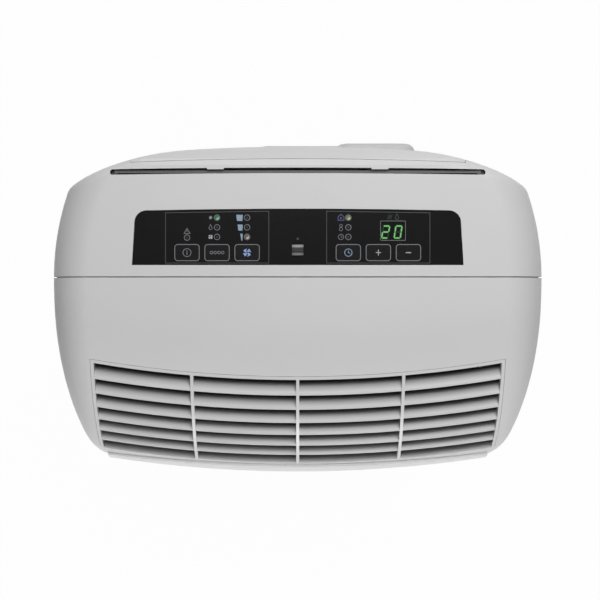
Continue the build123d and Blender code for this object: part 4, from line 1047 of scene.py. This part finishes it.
# %% Floor and world
def seen_directly(tree):
    """1 for rays from the camera or by way of a mirror or glass, else 0."""
    path = add_node(tree, "ShaderNodeLightPath")
    camera_ray = Value(tree, path.outputs["Is Camera Ray"])
    glossy_ray = Value(tree, path.outputs["Is Glossy Ray"])
    glass_ray = Value(tree, path.outputs["Is Transmission Ray"])
    return (camera_ray + glossy_ray + glass_ray).clipped(0.0, 1.0)


white_share = 0.97


def pale_floor():
    floor = Finish("pale_floor", {"Base Color": colour(238, 238, 238), "Roughness": 0.9})
    tree = floor.tree
    white = add_node(tree, "ShaderNodeEmission", {}, {"Color": (1, 1, 1, 1), "Strength": 1.0})
    inputs = {0: seen_directly(tree) * white_share, 1: floor.shader.outputs[0],
              2: white.outputs[0]}
    both = add_node(tree, "ShaderNodeMixShader", {}, inputs)
    output = next(n for n in tree.nodes if n.type == "OUTPUT_MATERIAL")
    tree.links.new(both.outputs[0], output.inputs["Surface"])
    return floor.material


floor_half = 4.0
floor_mesh = bpy.data.meshes.new("floor")
corners = [(-floor_half, -floor_half, 0), (floor_half, -floor_half, 0),
           (floor_half, floor_half, 0), (-floor_half, floor_half, 0)]
floor_mesh.from_pydata(corners, [], [(0, 1, 2, 3)])
floor_mesh.materials.append(pale_floor())
floor = bpy.data.objects.new("floor", floor_mesh)
bpy.context.scene.collection.objects.link(floor)

fill_level = 0.16
world = bpy.data.worlds.new("studio")
bpy.context.scene.world = world
world.use_nodes = True
world.node_tree.nodes.clear()
sky_level = seen_directly(world.node_tree) * (1 - fill_level) + fill_level
sky = add_node(world.node_tree, "ShaderNodeBackground", {},
               {"Color": (1, 1, 1, 1), "Strength": sky_level})
add_node(world.node_tree, "ShaderNodeOutputWorld", {}, {"Surface": sky.outputs[0]})
print("floor and world ready")

# %% [markdown]
# The machine stands between soft boxes: one low in front, one high up, two behind it, with
# pale walls round it. Hardly any light comes from the sides, so both shoulders roll off into
# grey, the left one deeper. No lamp is where the polished fascia would mirror it upwards.

# %% Lamps
def soft_box(name, place, target, size, power):
    data = bpy.data.lights.new(name, "AREA")
    data.shape = "SQUARE"
    data.size = size
    data.energy = power
    lamp_object = bpy.data.objects.new(name, data)
    lamp_object.location = place
    aim = Vector(target) - Vector(place)
    lamp_object.rotation_euler = aim.to_track_quat("-Z", "Y").to_euler()
    bpy.context.scene.collection.objects.link(lamp_object)
    return lamp_object


top_middle = (0.0, 0.0, cad_high.z)
soft_box("front_box", (0.0, -2.0, 0.8), top_middle, 0.8, 26.5)
soft_box("high_box", (0.0, 0.65, 2.7), top_middle, 0.6, 12.0)
soft_box("right_rear_box", (0.45, 0.7, 2.1), top_middle, 0.4, 10.0)
soft_box("back_box", (0.0, 2.2, 1.2), top_middle, 1.0, 9.0)
bpy.context.scene.view_settings.view_transform = "Standard"
